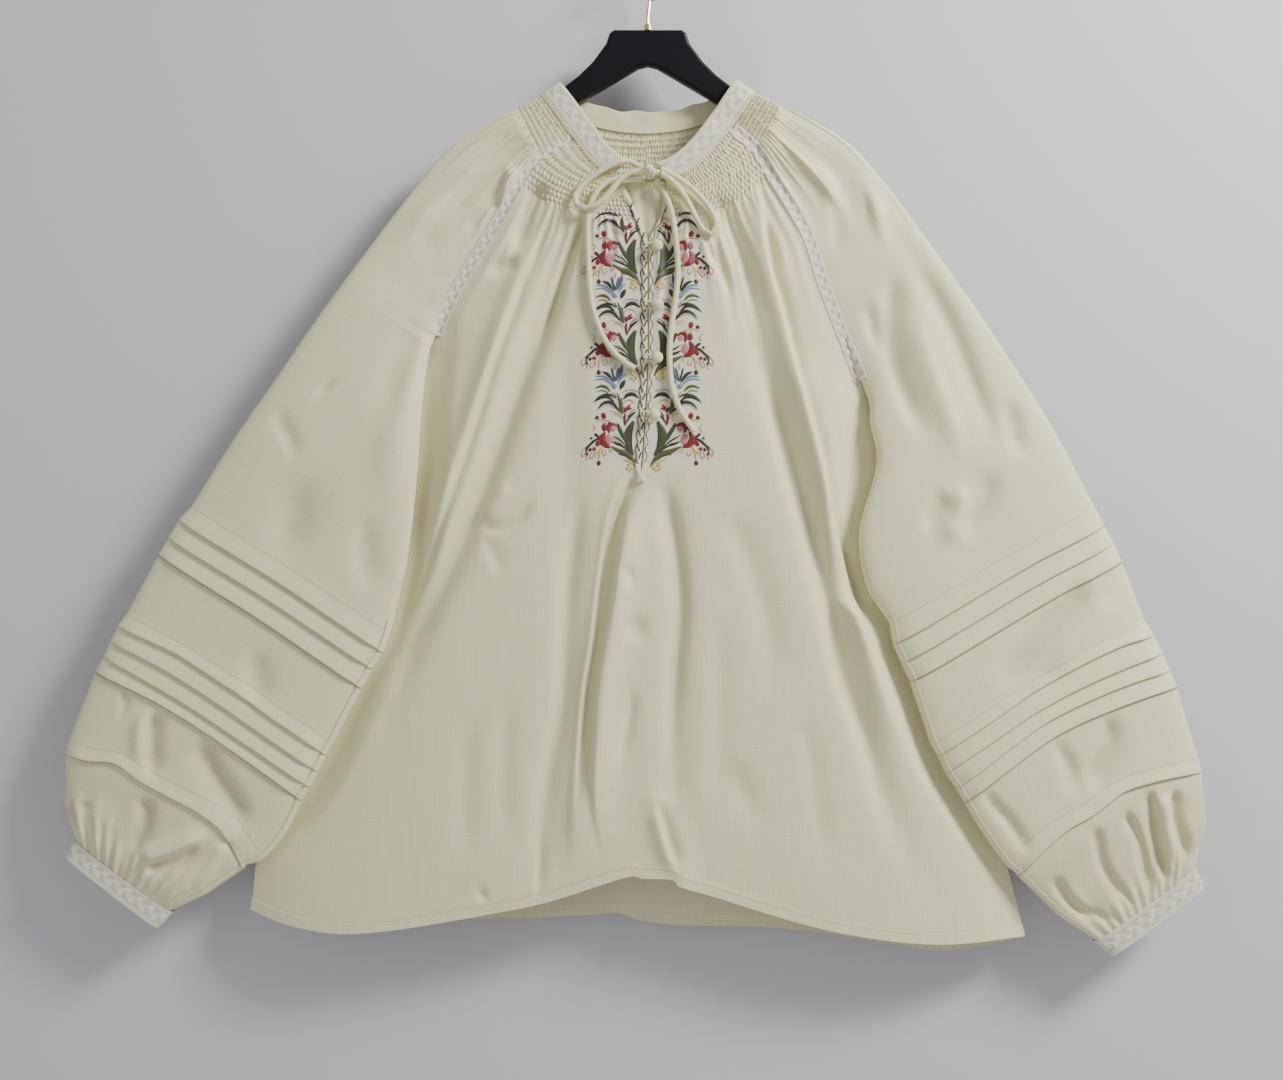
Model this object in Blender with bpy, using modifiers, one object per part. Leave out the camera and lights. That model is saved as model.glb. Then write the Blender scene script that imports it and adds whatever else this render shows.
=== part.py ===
"""A smocked peasant blouse with raglan bishop sleeves, hanging on a wooden hanger.

The origin is the bearing point inside the top of the hook. +X is to the right as seen from
the front, +Z is up, and the front of the blouse faces -Y. Tables are in millimetres, and a
mesh turns into metres when it is made. Left and right are as seen from the front.
"""
from math import cos, pi, radians, sin

import bmesh
import bpy
import numpy as np

MM = 0.001

# Cloth thicknesses and clearances
WALL = 1.2
BAND_WALL = 1.6
LACE_WALL = 0.9
SEAM_GAP = 0.4
TRIM_LIFT = 0.4
LACE_LIFT = 0.9
SLEEVE_CLEARANCE = 4.2
FOLD_GAP = 0.5
FOLD_COLUMNS = 2
ROW_PARTING = 1.6
FLAT_TUBE_POWER = 3.2
OPEN_SHEET_POWER = 4.0
ARMPIT_GAP = 2.6
NECK_GAP = 0.7

# Smocking below the collar, in rows that run round the neck
SMOCK_HEIGHT = 0.9
SMOCK_UPPER_ROWS = 3
SMOCK_LOWER_ROWS = 4
SLEEVE_SMOCK_ROWS = 4

# Grid sizes of the panels, in faces
FRONT_HALF_COLUMNS = 20
FRONT_LOWER_ROWS = 5
BACK_HALF_COLUMNS = 16
BACK_LOWER_ROWS = 4
SLEEVE_COLUMNS = 22

# Collar band, its ties, the slit and its buttons
BAND_DEPTH = 18.5
TIE_DIAMETER = 5.0
SLIT_BOTTOM_Z = -444.0
BINDING_WIDTH = 5.0
BUTTON_DIAMETER = 10.0
BUTTON_DEPTH = 7.0
BUTTON_PLACES = [(7.6, -254.0), (8.0, -303.0), (7.6, -348.0), (5.5, -396.0)]
LOOP_DIAMETER = 1.8
LOOP_HALF_WIDTH = 2.4

# Tucks of the sleeves and gathers at the cuffs
TUCK_HEIGHT = 2.0
TUCK_FOOT = 0.2
TUCK_STEP = 0.04
GATHER_HEIGHT = 2.2
CUFF_TOP = 0.07

# Hanger
HANGER_THICKNESS = 11.0
HANGER_BEVEL = 2.4
WIRE_DIAMETER = 3.2
HOOK_RADIUS = 19.0
FERRULE_DIAMETER = 7.0

COLOURS = {
    "cloth": ((0.76, 0.73, 0.56), 0.62, 0.0),
    "lace": ((0.80, 0.77, 0.68), 0.8, 0.0),
    "thread": ((0.10, 0.13, 0.07), 0.6, 0.0),
    "wood": ((0.018, 0.017, 0.019), 0.42, 0.0),
    "gold": ((0.72, 0.55, 0.28), 0.3, 1.0),
}

# Side seams below the armpits: x, z
SIDE_SEAM = {
    -1: [(-200, -366), (-214, -410), (-240, -500), (-288, -648), (-342, -819)],
    1: [(201, -408), (214, -448), (248, -562), (288, -702), (325, -842)],
}
# Neck seams: x, z
FRONT_NECK = {
    -1: [(-24, -193), (-37, -189), (-46, -182), (-54, -173), (-62, -160)],
    1: [(17, -195), (30, -191), (44, -182), (58, -167), (70, -150)],
}
BACK_NECK = [(-70, -137), (-50, -142), (-28, -147), (0, -149), (30, -146), (52, -140), (72, -134)]
# Hems: x, z
FRONT_HEM = [(-342, -819), (-311, -829), (-266, -835), (-222, -832), (-178, -825), (-133, -817),
             (-88, -808), (-44, -793), (-12, -784), (18, -790), (67, -806), (129, -825),
             (178, -836), (245, -844), (325, -842)]
BACK_HEM = [(-342, -820), (-253, -835), (-200, -832), (-133, -830), (-88, -827), (-44, -820),
            (-26, -817), (-8, -822), (45, -830), (147, -842), (245, -857), (289, -853), (325, -844)]
# Slit: z, x of its left edge and x of its right edge
SLIT_EDGES = [(-193, -24, 17), (-210, -16, 14), (-226, -8, 11), (-247, -0.4, 0.4),
              (-350, -0.4, 0.4), (-400, -2.9, -2.1), (-444, -6.4, -5.6)]
# Centre line below the slit: z, x
CENTRE_LINE = [(-444, -6), (-600, -8), (-790, -8)]

# Depth of the front and back of the body: z, y at the centre
FRONT_CENTRE_DEPTH = [(-190, -19), (-300, -18), (-444, -19), (-600, -21), (-845, -22)]
BACK_CENTRE_DEPTH = [(-140, 12), (-300, 10), (-600, 11), (-860, 12)]
# Depth at the edges: z, y at the front seam and y at the back seam
EDGE_DEPTH = {
    -1: [(-140, -14, 9.5), (-178, -13, 10), (-227, -11.5, 10), (-280, -9, 8), (-304, -6, 5),
         (-333, -1, 1.2), (-378, 1.2, 3.2), (-482, 2.0, 3.8), (-860, 2.0, 3.8)],
    1: [(-134, -14, 9.5), (-171, -13, 10), (-223, -11.5, 10), (-300, -9, 8), (-344, -6, 5),
        (-378, -1, 1.2), (-432, 1.2, 3.2), (-562, 2.0, 3.8), (-870, 2.0, 3.8)],
}
ARMPIT_Z = {-1: -332.0, 1: -377.0}
# Depth of the front where a sleeve lies on it, and the line x, z where the sleeve begins
COVERED_DEPTH = -1.0
COVER_LINE = {
    -1: [(-184, -333), (-190, -400), (-196, -500), (-214, -580), (-240, -627), (-290, -722),
         (-341, -781), (-407, -818)],
    1: [(185, -378), (176, -440), (174, -500), (178, -546), (203, -575), (240, -675),
        (266, -724), (312, -787), (382, -843)],
}

# Main folds of the front: height towards the viewer, width to the left, width to the right,
# and the fold's line as x, z
FRONT_FOLDS = [
    (-6.0, 14, 14, [(-71, -221), (-82, -297), (-100, -334), (-130, -427), (-163, -518),
                    (-191, -570), (-224, -651)]),
    (4.0, 8, 14, [(-111, -297), (-130, -353), (-148, -411), (-173, -482), (-192, -537),
                  (-207, -574)]),
    (-3.0, 16, 16, [(-75, -297), (-67, -467), (-64, -574), (-73, -648), (-89, -758),
                    (-93, -795)]),
    (5.0, 7, 20, [(-14, -444), (-26, -463), (-38, -544), (-51, -629), (-57, -703),
                  (-62, -750)]),
    (-3.0, 12, 12, [(12, -444), (23, -498), (25, -586), (23, -722)]),
    (3.0, 10, 12, [(8, -722), (29, -786)]),
    (-5.0, 14, 14, [(63, -225), (98, -353), (123, -430), (145, -518), (173, -616),
                    (201, -714), (230, -796)]),
    (4.5, 14, 8, [(112, -297), (137, -394), (159, -491), (182, -583), (210, -668)]),
]
# Folds of the back: height away from the body, widths and line as for the front
BACK_FOLDS = [
    (-3.5, 16, 16, [(-60, -210), (-95, -400), (-150, -620), (-190, -800)]),
    (3.5, 14, 16, [(-20, -200), (-35, -400), (-60, -640), (-75, -810)]),
    (3.0, 16, 12, [(40, -210), (70, -400), (110, -640), (140, -820)]),
    (-3.5, 14, 16, [(65, -215), (110, -400), (165, -620), (215, -820)]),
]

# Sleeves, a row for each ring from the neck to the cuff: the outer fold's x, z, the front
# seam's x, z, the back seam's x, z, the depth in front and behind, the middle's y at the
# outer and the inner edge, and how far the ring bows up
SLEEVE_RINGS = {
    -1: [
        (-91, -121, -62, -160, -70, -137, 14, 10, 0, 0, 0),
        (-115, -133, -93, -178, -94, -163, 13, 11, 0, 0, 0),
        (-143, -148, -112, -203, -112, -193, 12, 11, 0, 0, 0),
        (-172, -167, -126, -227, -127, -222, 11, 11, 0, 0, 0),
        (-197, -196, -143, -254, -143, -251, 11, 11, 0, 0, 0),
        (-220, -226, -159, -280, -159, -279, 11, 9, -1, -1, 0),
        (-240, -253, -172, -304, -172, -304, 11, 8, -2, -2, 0),
        (-260, -280, -184, -333, -184, -333, 11, 7, -3, -5, 0),
        (-290, -322, -189, -362, -189, -362, 11, 6, -4, -8, 0),
        (-320, -366, -193, -405, -193, -405, 12, 6, -4, -11, 0),
        (-350, -409, -197, -460, -197, -460, 13, 6, -4, -12, 0),
        (-374, -446, -205, -525, -205, -525, 13, 6, -4, -12, 0),
        (-390, -472, -218, -580, -218, -580, 13, 6, -4, -12, 0),
        (-401, -484, -224, -597, -224, -597, 13, 6, -4, -12, 0),
        (-410, -499, -233, -611, -233, -611, 13, 6, -4, -12, 0),
        (-418, -513, -242, -627, -242, -627, 13, 6, -4, -12, 0),
        (-445, -563, -266, -673, -266, -673, 13, 6, -4, -12, 0),
        (-453, -574, -272, -684, -272, -684, 13, 6, -4, -12, 0),
        (-459, -587, -279, -698, -279, -698, 13, 6, -4, -12, 0),
        (-465, -600, -286, -711, -286, -711, 13, 6, -4, -12, 0),
        (-472, -613, -293, -722, -293, -722, 13, 6, -4, -11, 0),
        (-495, -672, -336, -767, -336, -767, 13, 7, -4, -9, 12),
        (-497, -684, -343, -781, -343, -781, 13, 7, -4, -9, 14),
        (-499, -722, -375, -803, -375, -803, 12, 8, -5, -8, 8),
        (-489, -758, -407, -818, -407, -818, 6, 6, -5, -6, 0),
    ],
    1: [
        (91, -119, 70, -150, 72, -134, 14, 10, 0, 0, 0),
        (115, -130, 93, -171, 94, -158, 13, 11, 0, 0, 0),
        (143, -143, 108, -196, 109, -186, 12, 11, 0, 0, 0),
        (172, -161, 125, -223, 125, -217, 11, 11, 0, 0, 0),
        (200, -191, 138, -247, 138, -244, 11, 11, 0, 0, 0),
        (226, -226, 148, -279, 148, -277, 11, 9, -1, -1, 0),
        (254, -265, 163, -318, 163, -318, 11, 8, -2, -2, 0),
        (284, -308, 187, -378, 187, -378, 11, 7, -3, -5, 0),
        (308, -345, 189, -402, 189, -402, 11, 6, -4, -8, 0),
        (332, -382, 194, -437, 194, -437, 12, 6, -4, -11, 0),
        (352, -416, 179, -497, 179, -497, 13, 6, -4, -12, 0),
        (368, -446, 187, -546, 187, -546, 13, 6, -4, -12, 0),
        (382, -473, 205, -572, 205, -572, 13, 6, -4, -12, 0),
        (390, -489, 208, -590, 208, -590, 13, 6, -4, -12, 0),
        (398, -504, 215, -606, 215, -606, 13, 6, -4, -12, 0),
        (405, -519, 222, -621, 222, -621, 13, 6, -4, -12, 0),
        (425, -571, 240, -675, 240, -675, 13, 6, -4, -12, 0),
        (433, -583, 246, -685, 246, -685, 13, 6, -4, -12, 0),
        (440, -598, 252, -699, 252, -699, 13, 6, -4, -12, 0),
        (446, -613, 261, -712, 261, -712, 13, 6, -4, -12, 0),
        (452, -626, 268, -724, 268, -724, 13, 6, -4, -11, 0),
        (470, -687, 307, -774, 307, -774, 13, 7, -4, -9, 14),
        (473, -699, 314, -787, 314, -787, 13, 7, -4, -9, 16),
        (477, -742, 350, -822, 350, -822, 12, 8, -5, -8, 8),
        (468, -781, 382, -843, 382, -843, 6, 6, -5, -6, 0),
    ],
}
ARMPIT_RING = 7
SLEEVE_CUTS = [4, 7, 12]
SLEEVE_PARTS = ("top", "upper", "elbow", "lower")
FRONT_SEAM = 2
BACK_SEAM = 4
LACE_RINGS = (0.15, 0.5, 1, 1.5, 2, 2.5, 3, 4, 5, 5.5, 6, 6.45)
SLEEVE_PLAIN_RINGS = (1.5, 2, 3, 4, 5, 6, 6.5, 7, 8, 10)
TUCK_STITCH_RINGS = (12, 16, 21)
TUCK_EDGE_RINGS = (13, 14, 15, 17, 18, 19, 20, 22)
GATHER_RINGS = (22.3, 23.0, 23.55, 23.9, 24.0)
# Lower edge of each cuff: the outer corner's x, z and the inner corner's x, z
CUFF_LOWER = {-1: (-496, -772, -419, -831), 1: (474, -798, 397, -855)}

# Angle of the collar band above its seam, from the front end (0) to the centre back (1)
BAND_ANGLES = [(0.0, 36), (0.35, 34), (0.5, 36), (0.62, 46), (0.72, 68), (0.85, 86), (1.0, 90)]

# Hanger outline, left half, from the top of the plate round the arm to the arch's apex
HANGER_OUTLINE = [(0, -64), (-29, -64), (-33, -67), (-36, -76), (-47, -91), (-59, -103),
                  (-74, -114.5), (-91, -123), (-115, -135), (-143, -150), (-164, -163.6),
                  (-178, -175.6), (-187, -189), (-188, -198), (-181, -201), (-160, -190),
                  (-130, -170), (-98, -150), (-64, -129), (-30, -109), (-8, -96), (0, -94)]

# Ties: x, z and the height of the middle of the cord over the cloth
TIE_ROUTES = {
    "tie_loop_left": [(-6.6, -187.6, 3), (-12, -184, 3), (-22, -183, 3), (-33, -187, 3),
                      (-45, -194, 2.5), (-54, -201, 1.5), (-61, -209, 1.5), (-62, -217, 3),
                      (-57, -222, 5), (-49, -223, 6.5), (-41, -219, 6.5), (-33, -211, 6.5),
                      (-27, -203, 6.5), (-20, -196, 7), (-12, -192.5, 8), (-6.7, -192.4, 8)],
    "tie_loop_right": [(10.8, -189.4, 3), (17, -192.5, 3), (27, -198, 3), (40, -208, 2),
                       (50, -219, 1), (56, -229, 0.3), (58, -238, 0.3), (55, -243, 0.3),
                       (50, -243, 0.3), (45, -238, 0.3), (40, -229, 1), (33, -216, 3),
                       (26, -206, 5), (18, -199, 8), (10.9, -194.6, 8)],
    "tie_end_left": [(-5.0, -196.4, 1.4), (-15, -196, 1.4), (-26, -197, 1.4), (-38, -202, 1.4),
                     (-45, -210, 1.4), (-49, -221, 1.4), (-51, -234, 1.0), (-50.5, -262, 0.3),
                     (-49, -292, 0.3), (-45, -312, 0.3), (-37, -332, 0.3), (-28, -344, 0.3),
                     (-18, -353, 0.3), (-11, -357, 0.3)],
    "tie_end_right": [(6.6, -198.4, 1.4), (12, -206, 1.4), (16, -214, 1.4), (20, -226, 1.4),
                      (23, -245, 1.0), (25, -268, 0.5), (24, -292, 0.3), (20, -318, 0.3),
                      (18, -345, 0.3), (20, -372, 0.3), (27, -392, 0.3), (34, -403, 0.3),
                      (39, -410, 0.3)],
}
TIE_CLEARANCE = 0.5
TIE_SPACING = 10.0
KNOT_PLACE = (2.0, -191.5)
KNOT_SIZE = (15.0, 12.0, 12.0)


def smooth_path(points, steps=8):
    """Points along a Catmull-Rom curve through the given points."""
    given = np.array(points, float)
    ends = np.vstack([2 * given[0] - given[1], given, 2 * given[-1] - given[-2]])
    found = []
    for i in range(len(given) - 1):
        a, b, c, d = ends[i:i + 4]
        for k in range(steps):
            t = k / steps
            cubic = (3 * b - a - 3 * c + d) * t ** 3
            found.append(0.5 * (2 * b + (c - a) * t + (2 * a - 5 * b + 4 * c - d) * t * t + cubic))
    found.append(given[-1])
    return np.array(found)


def column_at(table, key, value, at):
    """Read one column of a table, smoothed, at values of another column."""
    rows = smooth_path(table, 6)
    order = np.argsort(rows[:, key])
    return np.interp(at, rows[order, key], rows[order, value])


def smoothstep(t):
    """A soft step from 0 to 1."""
    t = np.clip(t, 0.0, 1.0)
    return t * t * (3 - 2 * t)


def fold_field(folds, x, z):
    """Height of a set of folds at points x, z."""
    total = np.zeros_like(x)
    for height, left, right, line in folds:
        path = smooth_path(line, 4)
        order = np.argsort(path[:, 1])
        middle = np.interp(z, path[order, 1], path[order, 0])
        across = x - middle
        width = np.where(across < 0, left, right)
        top, bottom = path[0, 1], path[-1, 1]
        reach = 0.22 * (top - bottom)
        fade = smoothstep((top + 12 - z) / reach) * smoothstep((z - bottom + 40) / reach)
        total += height * fade * np.exp(-(across / width) ** 2)
    return total


def panel_edge(side, column):
    """A panel's edge: the raglan seam, from a column of the rings, then the side seam."""
    raglan = [(ring[column], ring[column + 1]) for ring in SLEEVE_RINGS[side][:ARMPIT_RING + 1]]
    return raglan + SIDE_SEAM[side]


def edge_share(side, column, x, z):
    """How far across a panel a point lies: 0 at the centre, 1 at the edge."""
    return np.clip(x / column_at(panel_edge(side, column), 1, 0, z), 0.0, 1.0)


def front_depth(side, x, z):
    """The y of the inside of the front panel."""
    x = np.asarray(x, float)
    z = np.asarray(z, float)
    share = edge_share(side, FRONT_SEAM, x, z)
    centre = column_at(FRONT_CENTRE_DEPTH, 0, 1, z) - fold_field(FRONT_FOLDS, x, z)
    edge = column_at(EDGE_DEPTH[side], 0, 1, z)
    upper = edge + (centre - edge) * (1 - share ** 3)
    covered = COVERED_DEPTH + (edge - COVERED_DEPTH) * share ** 8
    clear = side * (column_at(COVER_LINE[side], 1, 0, z) - x)
    lower = edge + (centre - edge) * (1 - share ** 6)
    lower = covered + (lower - covered) * smoothstep((clear + 4) / 30)
    below = smoothstep((ARMPIT_Z[side] + 42 - z) / 42)
    return upper + (lower - upper) * below


def back_depth(side, x, z):
    """The y of the inside of the back panel."""
    x = np.asarray(x, float)
    z = np.asarray(z, float)
    share = edge_share(side, BACK_SEAM, x, z)
    centre = column_at(BACK_CENTRE_DEPTH, 0, 1, z) + fold_field(BACK_FOLDS, x, z)
    edge = column_at(EDGE_DEPTH[side], 0, 2, z)
    return edge + (centre - edge) * (1 - share ** 4)


def zigzag(columns, row):
    """Puckers of the smocking: every other point, shifted from row to row."""
    return SMOCK_HEIGHT * ((np.arange(columns + 1) + row) % 2)


def make_material(name):
    """A plain material of one of the blouse's colours."""
    colour, roughness, metallic = COLOURS[name]
    material = bpy.data.materials.new(name)
    material.use_nodes = True
    shader = material.node_tree.nodes["Principled BSDF"]
    shader.inputs["Base Color"].default_value = (*colour, 1.0)
    shader.inputs["Roughness"].default_value = roughness
    shader.inputs["Metallic"].default_value = metallic
    material.diffuse_color = (*colour, 1.0)
    return material


def place(name, mesh, material, collection):
    """Put a mesh into the scene under its name."""
    thing = bpy.data.objects.new(name, mesh)
    mesh.materials.append(material)
    collection.objects.link(thing)
    return thing


def thicken(thing, wall, relief):
    """Give an open surface its wall, thicker at raised points, on its outer side."""
    most = wall + float(np.max(relief))
    group = thing.vertex_groups.new(name="height")
    for index, height in enumerate(relief):
        group.add([index], (wall + float(height)) / most, "REPLACE")
    solidify = thing.modifiers.new("wall", "SOLIDIFY")
    solidify.thickness = most * MM
    solidify.offset = 1.0
    solidify.use_even_offset = False
    solidify.vertex_group = group.name


def shell(name, rows, relief, wall, outward, material, collection, welds=()):
    """Loft a wall through rows of points; welds pairs the grid places that are one point."""
    joined = {second: first for first, second in welds}
    bm = bmesh.new()
    places = {}
    heights = []
    for r, row in enumerate(rows):
        for c, point in enumerate(row):
            if (r, c) not in joined:
                places[r, c] = bm.verts.new([value * MM for value in point])
                heights.append(relief[r][c])
    for second, first in joined.items():
        places[second] = places[first]
    width = len(rows[0])
    for r in range(len(rows) - 1):
        for c in range(width - 1):
            bm.faces.new([places[r, c], places[r, c + 1], places[r + 1, c + 1], places[r + 1, c]])
    bm.normal_update()
    bm.faces.ensure_lookup_table()
    facing = sum(face.normal.dot(outward) for face in bm.faces[:width // 3])
    if facing < 0:
        bmesh.ops.reverse_faces(bm, faces=bm.faces[:])
    mesh = bpy.data.meshes.new(name)
    bm.to_mesh(mesh)
    bm.free()
    mesh.shade_smooth()
    thing = place(name, mesh, material, collection)
    thicken(thing, wall, np.array(heights))


def half_panel(side, column, columns, neck, hem, centre_x, depth, lower_rows, stop=None):
    """Rows of a half panel that fans out from the neck to the hem.

    Down to the armpit the rows end where the sleeve's rings do, and a row may be set at stop,
    a height on the centre line.
    """
    shares = np.linspace(0.0, 1.0, columns + 1)
    edge = panel_edge(side, column)
    neck_x = centre_x(neck[0][1]) + (edge[0][0] - centre_x(neck[0][1])) * shares
    neck_line = column_at(neck, 0, 1, neck_x)
    hem_x = centre_x(-786.0) + (edge[-1][0] - centre_x(-786.0)) * shares
    hem_line = column_at(hem, 0, 1, hem_x)
    rings = np.array([(z - neck_line[-1]) / (hem_line[-1] - neck_line[-1]) for x, z in edge])
    drops = list(np.linspace(rings[0], rings[1], SMOCK_UPPER_ROWS + 1)[:-1])
    drops += list(np.linspace(rings[1], rings[2], SMOCK_LOWER_ROWS + 1))
    drops += list(rings[3:ARMPIT_RING + 1])
    if stop is not None:
        halt = (stop - neck_line[0]) / (hem_line[0] - neck_line[0])
        drops += [(drops[-1] + halt) / 2, halt]
    drops += list(np.linspace(drops[-1], 1.0, lower_rows + 1)[1:])
    rows = []
    for drop in drops:
        z = neck_line + (hem_line - neck_line) * drop
        start = centre_x(z[0])
        end = column_at(edge, 1, 0, z[-1]) - side * SEAM_GAP / 2
        x = start + (end - start) * shares
        rows.append(np.column_stack([x, depth(side, x, z), z]))
    return rows


def slit_x(side, z):
    """The x of the front panel's centre edge: the slit, then the centre line."""
    if z < SLIT_BOTTOM_Z - 0.5:
        return float(column_at(CENTRE_LINE, 0, 1, z))
    return float(np.interp(-z, [-row[0] for row in SLIT_EDGES],
                           [row[1 if side < 0 else 2] for row in SLIT_EDGES]))


def front_half(side):
    """Rows of one half of the front, from the slit to the side."""
    return half_panel(side, FRONT_SEAM, FRONT_HALF_COLUMNS, FRONT_NECK[side], FRONT_HEM,
                      lambda z: slit_x(side, z), front_depth, FRONT_LOWER_ROWS, SLIT_BOTTOM_Z)


def back_half(side):
    """Rows of one half of the back, from the centre to the side."""
    return half_panel(side, BACK_SEAM, BACK_HALF_COLUMNS, BACK_NECK, BACK_HEM,
                      lambda z: 0.0, back_depth, BACK_LOWER_ROWS)


def smocked_relief(rows):
    """Heights of the puckers, which fade out as gathers below the smocking."""
    columns = len(rows[0]) - 1
    smocked = SMOCK_UPPER_ROWS + SMOCK_LOWER_ROWS
    fades = {smocked: 1.0, smocked + 1: 0.5}
    relief = []
    for r in range(len(rows)):
        puckers = zigzag(columns, min(r, smocked)) * (1.0 if r < smocked else fades.get(r, 0.0))
        puckers[[0, -1]] = 0.0
        relief.append(puckers)
    return relief


def make_front(material, collection):
    """The front panel: its halves beside the slit, and the part below them."""
    left, right = front_half(-1), front_half(1)
    cut = len(left) - 1 - FRONT_LOWER_ROWS
    for half, name in ((left, "front_left"), (right, "front_right")):
        relief = smocked_relief(half)
        for heights in relief:
            heights[0] = 0.0
        rows = [row.copy() for row in half[:cut + 1]]
        rows[-1] += ROW_PARTING * parting(rows[-1], rows[-2])
        shell(name, rows, relief[:cut + 1], WALL, (0, -1, 0), material, collection)
    rows = [np.vstack([a[:0:-1], (a[:1] + b[:1]) / 2, b[1:]]) for a, b in zip(left[cut:], right[cut:])]
    rows[0] += ROW_PARTING * parting(rows[0], rows[1])
    shell("front_lower", rows, [np.zeros(len(row)) for row in rows], WALL, (0, -1, 0), material,
          collection)


def make_back(material, collection):
    """The back panel."""
    left, right = back_half(-1), back_half(1)
    rows = [np.vstack([a[:0:-1], (a[0] + b[0]) / 2, b[1:]]) for a, b in zip(left, right)]
    shell("back_panel", rows, smocked_relief(rows), WALL, (0, 1, 0), material, collection)


def ring_values(side, ring):
    """One ring of a sleeve, smoothed between the rows of the table."""
    table = np.array(SLEEVE_RINGS[side], float)
    below = int(min(max(np.floor(ring), 0), len(table) - 2))
    a = table[max(below - 1, 0)]
    b, c = table[below], table[below + 1]
    d = table[min(below + 2, len(table) - 1)]
    t = ring - below
    if ring > TUCK_STITCH_RINGS[0] - 1:
        return b + (c - b) * t
    cubic = (3 * b - a - 3 * c + d) * t ** 3
    return 0.5 * (2 * b + (c - a) * t + (2 * a - 5 * b + 4 * c - d) * t * t + cubic)


def sleeve_ring(side, ring, columns=SLEEVE_COLUMNS, shares=None):
    """Points of one sleeve ring: front seam, outer fold, back seam."""
    values = ring_values(side, ring)
    outer, front, rear = values[0:2], values[2:4], values[4:6]
    deep_front, deep_rear, middle_out, middle_in, bow = values[6:11]
    half = columns // 2
    if shares is None:
        shares = (1 - np.cos(pi * np.arange(half + 1) / half)) / 2
    closed = ring > ARMPIT_RING - 0.01
    lens = (1 - (1 - shares) ** OPEN_SHEET_POWER) ** (1 / OPEN_SHEET_POWER)
    if closed:
        lens = flat_tube(shares)
    middle = middle_out + (middle_in - middle_out) * shares
    faces = []
    for seam, deep, sign in ((front, deep_front, -1), (rear, deep_rear, 1)):
        x = outer[0] + (seam[0] - outer[0]) * shares
        z = outer[1] + (seam[1] - outer[1]) * shares + bow * 4 * shares * (1 - shares)
        y = middle + sign * deep * lens
        x = x + side * seam_gap(ring) * shares ** 3
        if not closed:
            depth = front_depth if sign < 0 else back_depth
            target = float(depth(side, seam[0], seam[1]))
            y = y + (target - y[-1]) * shares ** 3
        elif sign > 0:
            limit = front_depth(side, x, z) - SLEEVE_CLEARANCE
            inside = np.abs(x) < np.abs(column_at(panel_edge(side, FRONT_SEAM), 1, 0, z)) + 12
            y = np.where(inside, np.minimum(y, limit), y)
            y = np.maximum(y, middle - deep_front * lens + 3.0 * lens)
        faces.append(np.column_stack([x, y, z]))
    return np.vstack([faces[0][::-1], faces[1][1:]])


def flat_tube(shares):
    """How far a flattened tube stands from its middle, from 0 at its folds to 1."""
    return (1 - np.abs(2 * shares - 1) ** FLAT_TUBE_POWER) ** (1 / FLAT_TUBE_POWER)


def seam_gap(ring):
    """The gap from a sleeve's seam edge to the body, wider at the armpit."""
    near = smoothstep((ring - ARMPIT_RING + 2.5) / 2.5) * smoothstep((ARMPIT_RING + 2 - ring) / 2)
    return SEAM_GAP + ARMPIT_GAP * near + NECK_GAP * smoothstep((2.0 - ring) / 0.8)


def sleeve_rings():
    """Where the sleeve's rows lie, as places in its table, with the height of each row."""
    rings = [(r, 0.0) for r in np.linspace(0, 1, SLEEVE_SMOCK_ROWS + 1)]
    rings += [(float(r), 0.0) for r in SLEEVE_PLAIN_RINGS]
    for r in range(TUCK_STITCH_RINGS[0], TUCK_EDGE_RINGS[-1] + 1):
        if r in TUCK_STITCH_RINGS:
            rings.append((float(r), TUCK_FOOT))
        if r in TUCK_EDGE_RINGS:
            rings.append((float(r), TUCK_HEIGHT))
            rings.append((r + TUCK_STEP, TUCK_FOOT))
    rings += [(r, 0.0) for r in GATHER_RINGS]
    return rings


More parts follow.
